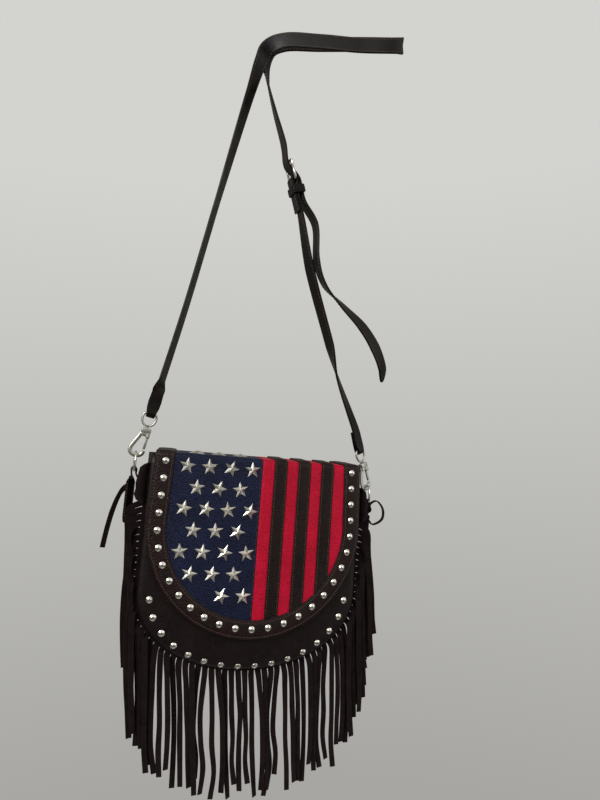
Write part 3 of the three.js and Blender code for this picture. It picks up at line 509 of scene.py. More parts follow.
# Flap: a sheet of 2 mm cowhide sewn to the back panel's top, laid over the mouth and folded down the
# front. Its two bends are the joints: at the back seam, and at the front fold.
BRIDGE_LOW, HINGE_Z = MOUTH_Z + 0.6, MOUTH_Z + 2.6
HINGE_Y = front_y(HINGE_Z) - 2.9
ARC_END, ARC_LONG, ARC_RADIUS = 3.36, 6.29, 1.5
FOLD_TURN = pi / 2 - LEAN_ANGLE
S_BACK = -37.6
bridge_start = HINGE_Y - 2 * LEAN + ARC_RADIUS * tan(FOLD_TURN / 2)
fold_centre = (bridge_start, BRIDGE_LOW - ARC_RADIUS)


def flap_point(x, s, h):
    """A point on the flap: s runs down the front from the fold, back over the mouth where it is below
    nought, and h is the height above the leather's underside."""
    if s >= ARC_END:
        c, d = cos(LEAN_ANGLE), sin(LEAN_ANGLE)
        return (x, HINGE_Y - s * d - h * c, HINGE_Z - s * c + h * d)
    if s <= ARC_END - ARC_LONG:
        return (x, bridge_start + (ARC_END - ARC_LONG - s), BRIDGE_LOW + h)
    angle = pi / 2 + FOLD_TURN * (s - ARC_END + ARC_LONG) / ARC_LONG
    reach = ARC_RADIUS + h
    return (x, fold_centre[0] + reach * cos(angle), fold_centre[1] + reach * sin(angle))


FLAP_SIDE, FLAP_CURVE, FLAP_TOP_HALF, FLAP_HALF = 75, 125, 122.5, 125


def flap_half(s, inset):
    """Half the flap's width at s."""
    if s < 0:
        return FLAP_TOP_HALF + 5 * s / 36 - inset
    if s < FLAP_SIDE:
        return FLAP_TOP_HALF + (FLAP_HALF - FLAP_TOP_HALF) * s / FLAP_SIDE - inset
    return (FLAP_HALF - inset) * sqrt(max(0, 1 - ((s - FLAP_SIDE) / (FLAP_CURVE - inset)) ** 2))


def flap_foot(x, inset):
    """How far down the flap reaches at x."""
    return FLAP_SIDE + (FLAP_CURVE - inset) * sqrt(max(0, 1 - (x / (FLAP_HALF - inset)) ** 2))


FOLD_ROWS = [
    S_BACK, -34, -28, -22, -16, -10, -6, ARC_END - ARC_LONG, -1.9, -0.9, 0.2, 1.2, 2.2, ARC_END, 6, 10]


def flap_edge(inset, start=S_BACK):
    """The flap's outline as (x, s), inset from its edge, from the top left round to the top right."""
    rows = [s for s in FOLD_ROWS + list(np.arange(16, FLAP_SIDE - 1, 5.9)) if s >= start]
    left = [(-flap_half(s, inset), s) for s in rows]
    wide, deep = FLAP_HALF - inset, FLAP_CURVE - inset
    bend = [(-wide * cos(t), FLAP_SIDE + deep * sin(t)) for t in (pi * i / 84 for i in range(85))]
    return left + bend + [(-x, s) for x, s in reversed(left)]


FOLD_BLEND = ("flap_top", "flap_front", BAG @ (Vector((0, HINGE_Y + 1, HINGE_Z)) / 1000),
              BAG @ (Vector((0, HINGE_Y - 2, HINGE_Z - 3)) / 1000))


def flap_sheet(left, right, inset, low, high, crown=0.0, soften=0.6, step=4.0):
    """A closed sheet on the flap between two x, cut off by an inset of the flap's outline, from its
    underside at height low to its face at height high."""
    xs = [left, *np.linspace(left + soften, right - soften, max(3, int((right - left) / step))), right]
    rows = []
    for x in xs:
        edge = min(abs(x - left), abs(right - x)) / soften
        face = high - (0.45 * (1 - min(1, edge)))
        middle = crown * (1 - (2 * (x - left) / (right - left) - 1) ** 2)
        line = FOLD_ROWS + list(np.linspace(16, flap_foot(x, inset), 40))
        top = [flap_point(x, s, face + middle + 0.08 * sin(s / 7 + x / 5)) for s in line]
        under = [flap_point(x, s, low) for s in line]
        rows.append(top + under[::-1])
    return skin(rows, wrap=True, cap=True)


BACKING_INSET = 0.8
BACKING_HALF = FLAP_HALF - BACKING_INSET
backing_rows = []
for f in np.linspace(-1, 1, 49):
    x_low = BACKING_HALF * sin(f * pi / 2)
    lowest = FLAP_SIDE + BACKING_HALF * sqrt(1 - (x_low / (BACKING_HALF + 0.01)) ** 2)
    line = FOLD_ROWS + list(np.linspace(16, lowest, 34))
    widths = [x_low * (flap_half(s, BACKING_INSET) / BACKING_HALF if s < FLAP_SIDE else 1) for s in line]
    top, under = ([flap_point(x, s, h) for x, s in zip(widths, line)] for h in (2.0, 0.0))
    backing_rows.append(top + under[::-1])
piece("flap_leather", [skin(backing_rows, wrap=True, cap=True)], panel_leather, FOLD_BLEND,
      ["flap_backing", "flap_bridge"])

seam_rows = []
for x in np.linspace(-117, 117, 60):
    outer = [(18.5, 2.9), (20.2, 2.7), (21.2, 1.6), (21.4, -1), (21.3, -7), (21.25, -13)]
    inner = [(20.15, -13), (20.15, -7), (20.15, -1), (20.1, 0.9), (19.4, 1.7), (18.5, 2.65)]
    seam_rows.append([(x, y, MOUTH_Z + z) for y, z in outer + inner])
SEAM_BLEND = ("bag", "flap_top", BAG @ Vector((0, 0.0208, -0.008)), BAG @ Vector((0, 0.0185, -0.0028)))
piece("flap_back_seam", [skin(seam_rows, wrap=True, cap=True)], panel_leather, SEAM_BLEND)

# Blue field and red stripes: pebbled upholstery leather of 1.3 mm, dyed navy and scarlet and plated
# with a pebble grain. The edges lie under the border and under the sewn strips.


def pebbled_leather(name, shade, light, pebble_mm, relief_mm, roughness):
    """Pebbled leather: rounded grains with painted shade in their valleys, and dye that is a little uneven.
    """
    material, tree, shader, place = start_material(name, {
        "Roughness": roughness, "IOR": 1.5, "Specular IOR Level": 0.2})
    shift = node(tree, "ShaderNodeTexNoise", {"Vector": place, "Scale": 1000 / (pebble_mm * 3), "Detail": 2})
    moved = node(tree, "ShaderNodeMix", {
        "Factor": 0.0012 / pebble_mm, 4: place, 5: shift.outputs["Color"]}, data_type="VECTOR")
    grain = node(tree, "ShaderNodeTexVoronoi", {
        "Vector": moved.outputs[1], "Scale": 1000 / pebble_mm, "Smoothness": 0.35}, feature="SMOOTH_F1")
    # Painted shade: the colour darkens from each grain's top into the valleys between the grains.
    valley = ramp(tree, grain.outputs["Distance"], 0.25, 0.75, 1, 0.25)
    depth = node(tree, "ShaderNodeMath", {0: valley, 1: noise(tree, place, 22, 4)}, operation="MULTIPLY")
    surface(tree, shader, between(tree, ramp(tree, depth.outputs[0], 0.1, 0.62), shade, light), valley,
            relief_mm, 0.8)
    return material


blue_leather = pebbled_leather("navy_pebbled_leather", "#111528", "#1d2342", 1.8, 0.5, 0.42)
red_leather = pebbled_leather("scarlet_pebbled_leather", "#ae0423", "#d80b38", 1.6, 0.45, 0.42)
INLAY_INSET, INLAY_LOW, INLAY_FACE, FIELD_HALF = 17, 2.02, 3.6, 105.4
field = flap_sheet(-FIELD_HALF, -0.15, INLAY_INSET, INLAY_LOW, INLAY_FACE, crown=0.25)
piece("blue_field", [field], blue_leather, FOLD_BLEND, ["canton"])
for i, (left, right) in enumerate(((0.15, 21.75), (22.05, 50.95), (51.25, 80.15), (80.45, FIELD_HALF)), 1):
    stripe = flap_sheet(left, right, INLAY_INSET, INLAY_LOW, INLAY_FACE, crown=0.15, step=2.5)
    piece(f"scarlet_stripe_{i}", [stripe], red_leather, FOLD_BLEND, [f"red_stripe_{i}"])

# Brown strips: oiled pull-up leather 15.5 mm wide, with painted shade in the valleys of its pebble, laid
# over the joints of the red and sewn down along both edges with a tan and brown thread, 3.4 mm a stitch.
strip_leather = pebbled_leather("oiled_pull_up_leather", "#0f0908", "#2a1b17", 1.3, 0.35, 0.45)
thread, tree, shader, place = start_material("waxed_polyester_thread", {"Roughness": 0.55, "IOR": 1.5})
# Twisted thread: painted shade in the valleys between its strands, drawn at 3 mm so that they show.
twist = node(tree, "ShaderNodeTexWave", {"Vector": place, "Scale": 1000 / 3, "Distortion": 2})
tree.links.new(between(tree, twist.outputs["Fac"], "#241814", "#6b5344"), shader.inputs["Base Color"])


def stitches(path, normals, pitch=3.4, long=2.3, wide=0.8):
    """A row of sewn stitches along a path, each a small plump thread that dips into the leather."""
    shapes = []
    wanted, walked = pitch * 0.6, 0.0
    for k in range(len(path) - 1):
        a, b = np.array(path[k], float), np.array(path[k + 1], float)
        length = np.linalg.norm(b - a)
        while length > 1e-6 and wanted <= walked + length:
            along = (b - a) / length
            up = np.array(normals[k], float)
            up = unit(up - along * np.dot(up, along))
            side = np.cross(along, up)
            at = a + along * (wanted - walked)
            rows = []
            for share, size in ((-0.5, 0.35), (-0.34, 0.85), (0, 1), (0.34, 0.85), (0.5, 0.35)):
                middle = at + along * share * long + up * (0.1 - 0.5 * share * share)
                rows.append([middle + size * wide / 2 * (cos(t) * side + 0.8 * sin(t) * up)
                             for t in (pi * n / 3 for n in range(6))])
            shapes.append(skin(rows, wrap=True, cap=True))
            wanted += pitch
        walked += length
    return shapes


def flap_stitches(line, h, **how):
    """A row of stitches along a line of (x, s) on the flap."""
    path = [flap_point(x, s, h) for x, s in line]
    normals = [np.array(flap_point(x, s, h + 1)) - np.array(flap_point(x, s, h)) for x, s in line]
    return stitches(path, normals, **how)


STRIPE, STRIP_LAP, STRIP_INSET, STRIP_LOW, STRIP_FACE = 14.6, 0.45, 20.4, 3.62, 5.1
strip_rows = []
for i in (1, 2, 3):
    left, right = STRIPE * (2 * i - 1) - STRIP_LAP, STRIPE * 2 * i + STRIP_LAP
    strip = flap_sheet(left, right, STRIP_INSET, STRIP_LOW, STRIP_FACE, crown=0.3, soften=0.5, step=2)
    piece(f"brown_strip_{i}", [strip], strip_leather, FOLD_BLEND, [f"brown_stripe_{i}"])
    for x in (left + 1.7, right - 1.7):
        line = [(x, s) for s in FOLD_ROWS + list(np.arange(13, flap_foot(x, 21), 3))]
        strip_rows += flap_stitches(line, STRIP_FACE + 0.1, wide=0.75)
piece("strip_stitches", strip_rows, thread, FOLD_BLEND)
field_edge = [(-1.6, s) for s in FOLD_ROWS + list(np.arange(13, 178, 3))]
field_rows = flap_stitches(field_edge, INLAY_FACE + 0.15, wide=0.6)
piece("field_stitches", field_rows, thread, FOLD_BLEND)

# Border: a band of embossed, glazed cowhide 21 mm wide round the flap, with turned edges, sewn along
# both and set with dome studs.
# Embossing: a crackle of irregular plates of 3 mm with fine 0.9 mm pores on them; the glaze is
# smoother on top of the plates and the colour is darker in the valleys.
border_leather, tree, shader, place = start_material("embossed_glazed_cowhide", {
    "Roughness": 0.34, "IOR": 1.5, "Specular IOR Level": 0.26})
plates = node(tree, "ShaderNodeTexVoronoi", {
    "Vector": place, "Scale": 1000 / 3.0}, feature="DISTANCE_TO_EDGE")
plate_top = ramp(tree, plates.outputs["Distance"], 0, 0.16)
plate_height = node(tree, "ShaderNodeMath", {
    0: noise(tree, place, 0.9, 4), 1: 0.25, 2: plate_top}, operation="MULTIPLY_ADD").outputs[0]
depth = node(tree, "ShaderNodeMath", {0: plate_top, 1: noise(tree, place, 16, 5)}, operation="MULTIPLY")
surface(tree, shader, between(tree, depth.outputs[0], "#0d0505", "#321a17"), plate_height, 0.3, 0.7,
        ramp(tree, plate_height, 0, 1, 0.6, 0.3))

BORDER_FACE = 5.6
BORDER_SECTION = (
    (1.4, 2.1), (0.4, 2.2), (0, 2.9), (-0.05, 3.9), (0.3, 4.8), (1.1, 5.35), (2.3, 5.45), (2.9, 5.25),
    (3.5, 5.5), (6, 5.75), (10.5, 5.85), (15, 5.75), (17.6, 5.5), (18.2, 5.25), (18.8, 5.45), (20, 5.3),
    (20.8, 4.8), (21, 4.2), (21, 3.66), (16.8, 3.66), (16.8, 2.1), (9, 2.05))
border_rows = [[flap_point(x, s, h) for x, s in flap_edge(inset)] for inset, h in BORDER_SECTION]
border_rows = [list(loop) for loop in zip(*border_rows)]
band = skin(border_rows, wrap=True, cap=True)
piece("flap_border_band", [band], border_leather, FOLD_BLEND, ["flap_border"])
border_rows = [row for inset in (2.9, 18.2) for row in flap_stitches(flap_edge(inset, -34), 5.42)]
piece("border_stitches", border_rows, thread, FOLD_BLEND)

FLAP_STUDS, FLAP_STUD_PITCH, STUD_INSET = 27, 18.9, 11.5
flap_studs = []
fold_half = flap_half(0, STUD_INSET)
stud_edge = [(-fold_half, 0), *((x, -s) for x, s in flap_edge(STUD_INSET, 0)), (fold_half, 0)]
stud_start = (edge_length(stud_edge) - (FLAP_STUDS - 1) * FLAP_STUD_PITCH) / 2 + 0.6
for x, z, _, _ in even_spots(stud_edge, stud_start, FLAP_STUD_PITCH, FLAP_STUDS):
    s = max(-z, ARC_END)
    foot, tip = (np.array(flap_point(x, s, BORDER_FACE + lift)) for lift in (0.1, 1.1))
    flap_studs.append(lathe(foot, tip - foot, STUD, spin=x))
piece("flap_studs", flap_studs, nickel, "flap_front", sharp=50)

# Star studs: five-pointed pyramids pressed from nickel-plated steel, 17.6 mm across, clenched through
# the blue field. Three more stand on the fold, and a hidden snap holds the flap shut.
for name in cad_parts:
    if name.startswith("star_") or name.startswith("snap_"):
        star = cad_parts[name]
        star.data.materials.clear()
        star.data.materials.append(nickel)
        worn = star.modifiers.new("pressed_edges", "BEVEL")
        worn.width = 0.00025
        worn.segments = 2
        worn.limit_method = "ANGLE"
fold_stars = []
for column in (0.5, 1.5, 2.5):
    centre = np.array([-87 + 25 * column, HINGE_Y + 13, BRIDGE_LOW + INLAY_FACE])
    rim = []
    for k in range(10):
        radius = 9.5 * (0.42 if k % 2 else 1)
        angle = pi / 2 + 0.2 * column + pi * k / 5
        rim.append(centre + np.array([radius * cos(angle), radius * sin(angle), 0]))
    tops = [p + np.array([0, 0, 0.5]) for p in rim]
    points = [tuple(p) for p in rim + tops] + [tuple(centre + np.array([0, 0, 3.4]))]
    faces = [(k, (k + 1) % 10, 10 + (k + 1) % 10, 10 + k) for k in range(10)]
    faces += [(10 + k, 10 + (k + 1) % 10, 20) for k in range(10)] + [tuple(range(10))]
    fold_stars.append((points, faces))
piece("fold_stars", fold_stars, nickel, "flap_top", sharp=12)

# Swivel snap hooks: zinc castings, tumbled and satin nickel plated. An eye takes the strap and turns
# on a riveted stem in the square block; a sprung gate closes the hook.
satin_nickel, tree, shader, place = start_material("satin_nickel_zinc", {"Roughness": 0.42, "Metallic": 1})
# Tumbled casting: a fine 1.5 mm mottle that scatters the mirror image, and no sharp edge.
tumbling = noise(tree, place, 1.5, 5)
surface(tree, shader, between(tree, tumbling, "#b9b8af", "#d8d7cd"), tumbling, 0.1, 0.3,
        ramp(tree, tumbling, 0, 1, 0.34, 0.52))


def wire(stops, radius, closed=False, up=(0, 1, 0), steps=5, sides=16, thin=None, broad=1.0):
    """A wire along a smooth route; thin gives the share of the radius at each end, and broad the share of
    it across the up direction."""
    around = [np.array(s, float) for s in stops]
    if closed:
        around = around[-2:] + around + around[:3]
    route = smooth_route(around, steps)
    if closed:
        route = route[2 * steps:-2 * steps - 1]
    rows = []
    for i, at in enumerate(route):
        ahead = route[(i + 1) % len(route)] if closed else route[min(i + 1, len(route) - 1)]
        along = unit(ahead - (route[i - 1] if closed or i else at))
        face = unit(np.array(up, float) - along * np.dot(up, along))
        side = np.cross(along, face)
        size = radius
        if thin:
            size = radius * (thin[0] + (thin[1] - thin[0]) * i / (len(route) - 1))
        rows.append([at + size * (broad * cos(t) * side + sin(t) * face)
                     for t in (2 * pi * (n + 0.5) / sides for n in range(sides))])
    return skin(rows, wrap=True, ring=closed, cap=not closed)


def block(x0, x1, y0, y1, z0, z1, soft=0.6):
    """A cast block with rounded edges."""
    made = bmesh.new()
    bmesh.ops.create_cube(made, size=1, matrix=Matrix.LocRotScale(
        Vector(((x0 + x1) / 2, (y0 + y1) / 2, (z0 + z1) / 2)), None, Vector((x1 - x0, y1 - y0, z1 - z0))))
    bmesh.ops.bevel(made, geom=list(made.edges), offset=soft, segments=3, profile=0.5, affect="EDGES")
    made.verts.ensure_lookup_table()
    shape = [tuple(v.co) for v in made.verts], [[v.index for v in f.verts] for f in made.faces]
    made.free()
    return shape


HOOK_ARM = [(-3.3, 27.5), (-4.6, 22), (-8, 13.5), (-10.1, 7), (-9.2, 2.4), (-5.8, 0), (-2, -0.2), (1.6, 0.6),
            (4, 3), (4.5, 6.4)]
EYE_TOP = 48.5
EYE_LINE = [(-5.5, EYE_TOP), (0, EYE_TOP), (5.5, EYE_TOP), (7.4, 46.3), (7, 39.5), (4, 35.4), (0, 34.2),
            (-4, 35.4), (-7, 39.5), (-7.4, 46.3)]
HOOKS = {"left": ((-141, 0, -8.5), radians(11.6), 0), "right": ((144.5, 0, -27.5), radians(-19.7), 0.5)}
HOOK_WIRE = 1.45
STEM = ((0, 24.4), (1.7, 24.4), (1.7, 25.7), (1.2, 25.7), (1.2, 33.2), (2.0, 33.6), (2.2, 34.6), (1.6, 35.3),
        (0, 35.4))
COLLAR = ((1.5, 31.9), (2.6, 31.9), (2.6, 32.5), (1.5, 32.7))
RIVET = ((0, -3.25), (0.7, -3.2), (1.1, -3.0), (1.1, 3.0), (0.7, 3.2), (0, 3.25))
hook_space = {}
for side, (spot, tilt, yaw) in HOOKS.items():
    here = BAG @ Matrix.Translation(Vector(spot) / 1000)
    here = here @ Matrix.Rotation(tilt, 4, "Y") @ Matrix.Rotation(yaw, 4, "Z")
    hook_space[side] = here
    eye = [wire([(x, 0, z) for x, z in EYE_LINE], 1.3, closed=True), lathe((0, 0, 0), (0, 0, 1), STEM)]
    casting = [wire([(x, 0, z) for x, z in HOOK_ARM], HOOK_WIRE, broad=1.6),
               block(-5, 6.2, -3, 3, 26, 32, 1.0), block(-5, 2.6, -2.6, 2.6, 22.4, 27, 0.9),
               block(2.3, 6.2, -3, -1.5, 21, 27, 0.5), block(2.3, 6.2, 1.5, 3, 21, 27, 0.5),
               lathe((0, 0, 0), (0, 0, 1), COLLAR)]
    gate = [block(2.9, 5.7, -1.1, 1.1, 8.1, 24.8, 0.5), lathe((4.2, 0, 23.2), (0, 1, 0), RIVET, 16)]
    for name, shapes, body, solid in (
            ("swivel", eye, "bag", "swivel_eye"), ("hook_casting", casting, f"hook_{side}", "hook"),
            ("sprung_gate", gate, f"gate_{side}", "gate")):
        piece(f"{name}_{side}", shapes, satin_nickel, body, [f"{solid}_{side}"], here, sharp=45)

# D-rings and tabs: rings of 2.6 mm steel wire, nickel plated, held by folded leather tabs that are
# sewn into the gusset. A suede lace hangs from the left tab; the right one is wound round its tab.
D_RING = [(-0.68, -1), (0, -1), (0.68, -1), (0.96, -0.78), (1.02, -0.2), (0.89, 0.42), (0.52, 0.86), (0, 1),
          (-0.52, 0.86), (-0.89, 0.42), (-1.02, -0.2), (-0.96, -0.78)]
RING_WIRE, RING_HALF, RING_GAP, ARM_HALF = 1.3, 10, 0.9, 1.4
TAB_HALF, TAB_WIDE, LACE_HALF, LACE_WIDE, WINDS, WIND_STEPS = 0.9, 12, 0.65, 5.7, 4, 8
BAG_BACK = BAG.inverted()


def bar_turn(radius, first, last, steps=6):
    """A strap's turn round a bar, as offsets in the strap's own plane."""
    turns = (radians(first + (last - first) * i / steps) for i in range(steps + 1))
    return [(radius * cos(a), radius * sin(a)) for a in turns]


for side in ("left", "right"):
    sign = -1 if side == "left" else 1
    hung = BAG_BACK @ hook_space[side] @ Vector((-0.002, 0, -0.0002)) * 1000
    ring_z = hung.z + ARM_HALF + RING_WIRE + RING_GAP - RING_HALF
    loop = [(hung.x, hung.y + RING_HALF * y, ring_z + RING_HALF * z) for y, z in D_RING]
    ring_wire = wire(loop, RING_WIRE, closed=True, up=(1, 0, 0))
    piece(f"d_ring_{side}", [ring_wire], nickel, "bag", [f"ring_{side}"])
    wrap, low, ring_x = RING_WIRE + 0.3 + TAB_HALF + 0.25, ring_z - RING_HALF, abs(hung.x)
    sewn_x = HALF_WIDTH - 1 + 0.3 + TAB_HALF
    line = [(sewn_x, low - 24), (sewn_x, low - 15), (sewn_x + 2.2, low - 10), (ring_x - 5.5, low - 8.5),
            (ring_x - wrap + 0.2, low - 4)] + [(ring_x + x, low + z) for x, z in bar_turn(wrap, 180, 0)]
    tail = 60 if side == "left" else 40
    line += [(ring_x + wrap - 0.6, low - down) for down in (6, 14, 24, tail - 7, tail - 1.5, tail)]
    stops = [((sign * x, hung.y, z), (0, 1, 0), TAB_WIDE) for x, z in line]
    if side == "left":
        stops = stops[:-5] + [(at, (0.8, 0.6, 0), TAB_WIDE) for at, _, _ in stops[-5:]]
    stops[-2] = (*stops[-2][:2], 9.5)
    stops[-1] = (*stops[-1][:2], 4.5)
    frames = strap_frames(stops, 5)
    tab = strap_skin(frames, 2 * TAB_HALF, crown=0.1)
    piece(f"folded_tab_{side}", [tab], border_leather, "bag", [f"ring_tab_{side}"])
    tail = frames[-21:-8]
    rows = []
    for share in (-0.74, 0.74):
        for flank in (-1, 1):
            path = [at + across * half * share + face * 0.93 * flank for at, across, face, half in tail]
            rows += stitches(path, [face * flank for _, _, face, _ in tail], pitch=3, long=2)
    piece(f"tab_stitches_{side}", rows, thread, "bag")
    lace_x = ring_x + wrap - 0.6 + TAB_HALF + 1
    flat_on, turning, edge_on = (0.95, -0.3, 0.1), (0.6, -0.5, 0.5), (0, 1, 0)
    wound = []
    if side == "left":
        hanging = ((0, -8, edge_on), (0, -14, edge_on), (8, -27, turning), (14, -46, flat_on),
                   (18, -68, flat_on), (20.5, -88, flat_on))
    else:
        hanging = ((2.4, -4, edge_on), (11, 1, edge_on), (21, -9, edge_on), (21, -22, edge_on),
                   (8, -29, edge_on), (3, -24, edge_on))
        # Four turns round the tab, from below upwards, before the loop.
        last = WINDS * WIND_STEPS
        for k in range(last - 2):
            t = 2 * pi * (k / WIND_STEPS - 0.25)
            x, y = 6.7 * max(-1, min(1, 1.35 * cos(t))), 7.4 * max(-1, min(1, 1.35 * sin(t)))
            at = (lace_x - 6.6 + x, hung.y + y, low - 36 + 20.8 * k / last + 0.4 * sin(k))
            wound.append((at, (0, 0.1 * sin(k), 1), 5.1))
        wound.append(((lace_x + 1.3, hung.y - 3, low - 11), (0, 0.5, 0.9), 5.4))
    stops = wound + [((sign * (lace_x + x), hung.y, low + z), (sign * a[0], a[1], a[2]), LACE_WIDE)
                     for x, z, a in hanging]
    frames = strap_frames(stops, 6)
    shapes = [strap_skin(frames, 2 * LACE_HALF)]
    lace = piece(f"suede_lace_{side}", shapes, suede, "bag", [f"lace_{side}"])
    line = [BAG @ (Vector(at) / 1000) for at, _, _, _ in frames]

# Buckle: a rectangular frame bent from 3 mm steel wire, nickel plated, with a prong that turns on its
# heel bar.
BUCKLE = Matrix.Translation((0.0225, 0, -0.17)) @ Matrix.Rotation(radians(-14), 4, "Y")
BUCKLE_WIRE = 1.5
FRAME_LINE = [(0, 0), (9.5, 0), (11.7, 2.2), (11.7, 11), (11.7, 19.8), (9.5, 22), (0, 22), (-9.5, 22),
              (-11.7, 19.8), (-11.7, 11), (-11.7, 2.2), (-9.5, 0)]
buckle = wire([(0, y, z) for y, z in FRAME_LINE], BUCKLE_WIRE, closed=True, up=(1, 0, 0))
piece("buckle_wire", [buckle], nickel, "bag", ["buckle_frame"], BUCKLE)
prong = [wire([(2.6, 0, 0.6), (3, 0, 8), (2.9, 0, 25)], 1.1, thin=(1, 0.75)),
         lathe((0, 0, 0), (0, 1, 0), ((1.85, -1.3), (3.1, -1.3), (3.1, 1.3), (1.85, 1.3), (1.85, -1.3)))]
piece("buckle_tongue", prong, nickel, "prong", ["buckle_prong"], BUCKLE)

# Strap: two layers of smooth dark leather 18 mm wide, folded, glued and stitched along both edges.
# The long part runs from the left hook over the peg's bend, and through the buckle to its free end.
# Drum-dyed leather: nearly black brown, fine 0.7 mm pores drawn at 1 mm, with a satin finish that is
# broken by bending creases across the strap.
strap_leather, tree, shader, place = start_material("smooth_drum_dyed_leather", {
    "Roughness": 0.4, "IOR": 1.5, "Specular IOR Level": 0.22})
strap_pores = node(tree, "ShaderNodeTexVoronoi", {"Vector": place, "Scale": 1000, "Randomness": 1})
wear = noise(tree, place, 14, 6, Roughness=0.6)
strap_relief = node(tree, "ShaderNodeMath", {
    0: strap_pores.outputs["Distance"], 1: -0.3, 2: wear}, operation="MULTIPLY_ADD")
surface(tree, shader, between(tree, wear, "#070404", "#18100f"), strap_relief.outputs[0], 0.3, 0.5,
        ramp(tree, wear, 0.3, 0.7, 0.3, 0.5))

WIDE, STRAP_HALF, LAYER = 18, 1.25, 1.5
PASS_BAR = BUCKLE_WIRE + 0.3 + STRAP_HALF + 0.25
PASS_FOLD = PASS_BAR + 2.8


def fold_stops(side):
    """The strap's end on a hook: two layers, and a turn round the eye's top bar."""
    here = hook_space[side]
    across = here.to_3x3() @ Vector((1, 0, 0))
    legs = [(LAYER + 0.1, 25, WIDE * 0.74), (LAYER + 0.1, 14, WIDE * 0.8), (LAYER + 0.6, 7, 13.5)]
    spots = legs + [(y, z, 10) for y, z in bar_turn(3.1, 0, -180)]
    spots += [(-y, z, wide) for y, z, wide in legs[::-1]]
    return [(here @ (Vector((0, y, EYE_TOP + z)) / 1000) * 1000, across, wide) for y, z, wide in spots]


def on_buckle(*spots):
    """Stops of the strap at places (x, z) on the buckle, with the strap's width along the bars."""
    return [(BUCKLE @ Vector((x / 1000, 0, z / 1000)) * 1000, (0, 1, 0), WIDE) for x, z in spots]


def sewn_strap(name, stops, node_name, free_end):
    """A strap with its stitched edges; free_end is how many steps at its last end get no stitches."""
    frames = strap_frames(stops, 8)
    row = Matrix.Identity(4)
    shapes = [strap_skin(frames, 2 * STRAP_HALF, crown=0.12)]
    piece(name, shapes, strap_leather, "bag", [node_name], row)
    rows = []
    sewn = [f for f in frames[:len(frames) - free_end] if f[3] > 7.5]
    for share in (-1, 1):
        for flank in (-1, 1):
            path = [at + across * share * (half - 1.8) + face * 1.27 * flank
                    for at, across, face, half in sewn]
            rows += stitches(path, [face * flank for _, _, face, _ in sewn], pitch=4, long=2.6, wide=0.7)
    piece(f"{name}_stitches", rows, thread, "bag", space=row)
    return frames


UPRIGHT = (0, 0, -1)
above_fold = hook_space["left"] @ (Vector((0, -0.8, EYE_TOP + 40)) / 1000) * 1000
# Up the left leg, round the two pegs and down to the buckle.
long_stops = fold_stops("left") + [(at, across, WIDE) for at, across in (
    (above_fold, (0.37, 0.92, -0.11)), ((-106, 0, -329), (0.34, 0.94, -0.1)),
    ((-69, 0, -201.5), (0.34, 0.94, -0.1)),
    ((-30, 0, -70), (0.6, 0.78, -0.18)), ((-17, -1, -30), (0.8, 0.5, -0.3)),
    ((-9, -4, -15), (0.75, -0.1, -0.6)), ((7, -11.5, -8.5), UPRIGHT), ((48, -27, -11.5), UPRIGHT),
    ((92.5, -43, -17), UPRIGHT), ((133, -56, -18), UPRIGHT), ((145, -48, -11), UPRIGHT),
    ((139, -36, -4), UPRIGHT), ((101.5, -22, -2), UPRIGHT), ((54, -7, -2), UPRIGHT),
    ((14, 5, -2), (0.1, 0, -1)), ((-3, 11, -8), (0.75, 0.1, -0.65)), ((-8.5, 14, -22), (0.95, 0.5, 0)),
    ((-6.5, 12, -46), (0.4, 0.92, 0)), ((0.7, 5, -86), (0.2, 0.98, 0)))]
long_stops += on_buckle((-1.2, 42), (-PASS_BAR - 0.2, 24), (-PASS_BAR + 0.6, 17), (2.8, 8),
                        (PASS_FOLD + 0.2, -0.5), (PASS_FOLD + 0.2, -14), (PASS_FOLD + 0.6, -28))
# The free end waves down, turns its face to the front and ends in a rounded tip.
long_stops += [(at, across, WIDE * share) for at, across, share in (
    ((50, -3, -222), (-0.03, 1, 0), 1), ((50.5, -8, -268), (-0.05, 1, 0), 1),
    ((59, -13, -298), (0.15, 0.97, 0), 1),
    ((81, -18, -323), (0.4, 0.8, 0.4), 1), ((105, -22, -348), (0.7, 0.54, 0.45), 1),
    ((121, -24, -373), (0.84, 0.44, 0.33), 1), ((130, -25, -398), (0.82, 0.57, 0.08), 1),
    ((130, -25, -407), (0.78, 0.62, 0), 0.8), ((129.5, -25, -412.5), (0.78, 0.62, 0), 0.5),
    ((129, -25, -415.5), (0.78, 0.62, 0), 0.18))]
long_frames = sewn_strap("long_strap", long_stops, "strap_long", 24)
short_stops = on_buckle((-3, -38), (-3, -16), *bar_turn(PASS_BAR, 180, 0, 8), (0.8, -12), (0, -22), (0, -40))
short_stops += [((44.4, 0.4, -276), (-0.3, 0.95, 0), WIDE), ((70.7, 0.6, -369.7), (-0.22, 0.97, 0), WIDE),
                ((81, 1, -409), (0.4, 0.9, 0.1), WIDE)]
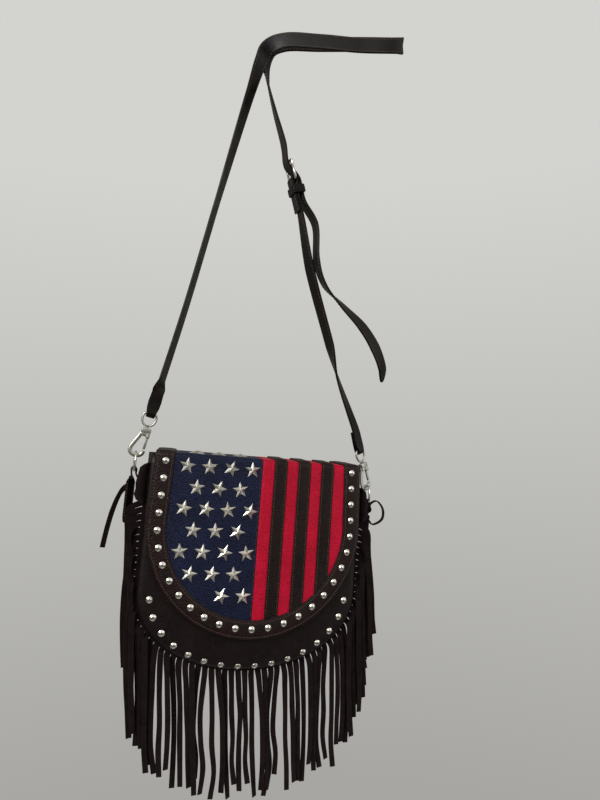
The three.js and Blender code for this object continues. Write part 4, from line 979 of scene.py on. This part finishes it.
sewn_strap("short_strap", short_stops + fold_stops("right")[::-1], "strap_short", 0)

# Punched holes in the free end: seven of 3.9 mm, 22 mm apart, cut through both layers with a round
# punch, so their raw edge is fibrous. A nearly black recessed disc fills each hole: painted shade where
# the hole goes through, with its rim as the raw edge.
hole_edge_and_shade, tree, shader, place = start_material("raw_edge_and_painted_hole_shade", {"Roughness": 0.9, "IOR": 1.5})
tree.links.new(between(tree, noise(tree, place, 0.6, 3), "#050303", "#1a100d"), shader.inputs["Base Color"])
HOLES, HOLE_PITCH = 7, 22
HOLE = ((0, -0.5), (1.2, -0.55), (1.5, -1.2), (1.75, -1.38), (1.95, -1.3), (1.95, 1.3), (1.75, 1.38),
        (1.5, 1.2), (1.2, 0.55), (0, 0.5))
holes, walked, wanted = [], 0.0, 28.0
for here, ahead in zip(long_frames[::-1], long_frames[-2::-1]):
    walked += np.linalg.norm(ahead[0] - here[0])
    if walked >= wanted and len(holes) < HOLES:
        wanted += HOLE_PITCH
        holes.append(lathe(ahead[0], ahead[2], HOLE))
piece("strap_holes", holes, hole_edge_and_shade, "bag", space=Matrix.Identity(4))

# Keeper: a loop of the strap's leather, 9 mm wide, its ends stitched together behind. It holds the
# strap's layers together below the buckle.
keeper_rows, corners = [], []
x0, x1, half = -PASS_BAR - STRAP_HALF - 0.3, PASS_FOLD + STRAP_HALF + 0.9, 9.5
for cx, cy, start in ((x1 - 1, half - 1, 0), (x0 + 1, half - 1, 90), (x0 + 1, 1 - half, 180),
                      (x1 - 1, 1 - half, 270)):
    corners += [(cx, cy, radians(start + 90 * k / 5)) for k in range(6)]
# Height and reach of each row: the outside with its bevelled edges, and then the inside.
for z, reach in ((-17, 2.1), (-16.6, 2.6), (-14.8, 2.6), (-12.5, 2.75), (-10.2, 2.6), (-8.4, 2.6), (-8, 2.1),
                 (-8, 1), (-12.5, 1), (-17, 1)):
    keeper_rows.append([(cx + reach * cos(a), cy + reach * sin(a), z) for cx, cy, a in corners])
keeper = skin(keeper_rows, wrap=True, ring=True)
piece("keeper_loop", [keeper], strap_leather, "bag", ["keeper"], BUCKLE)
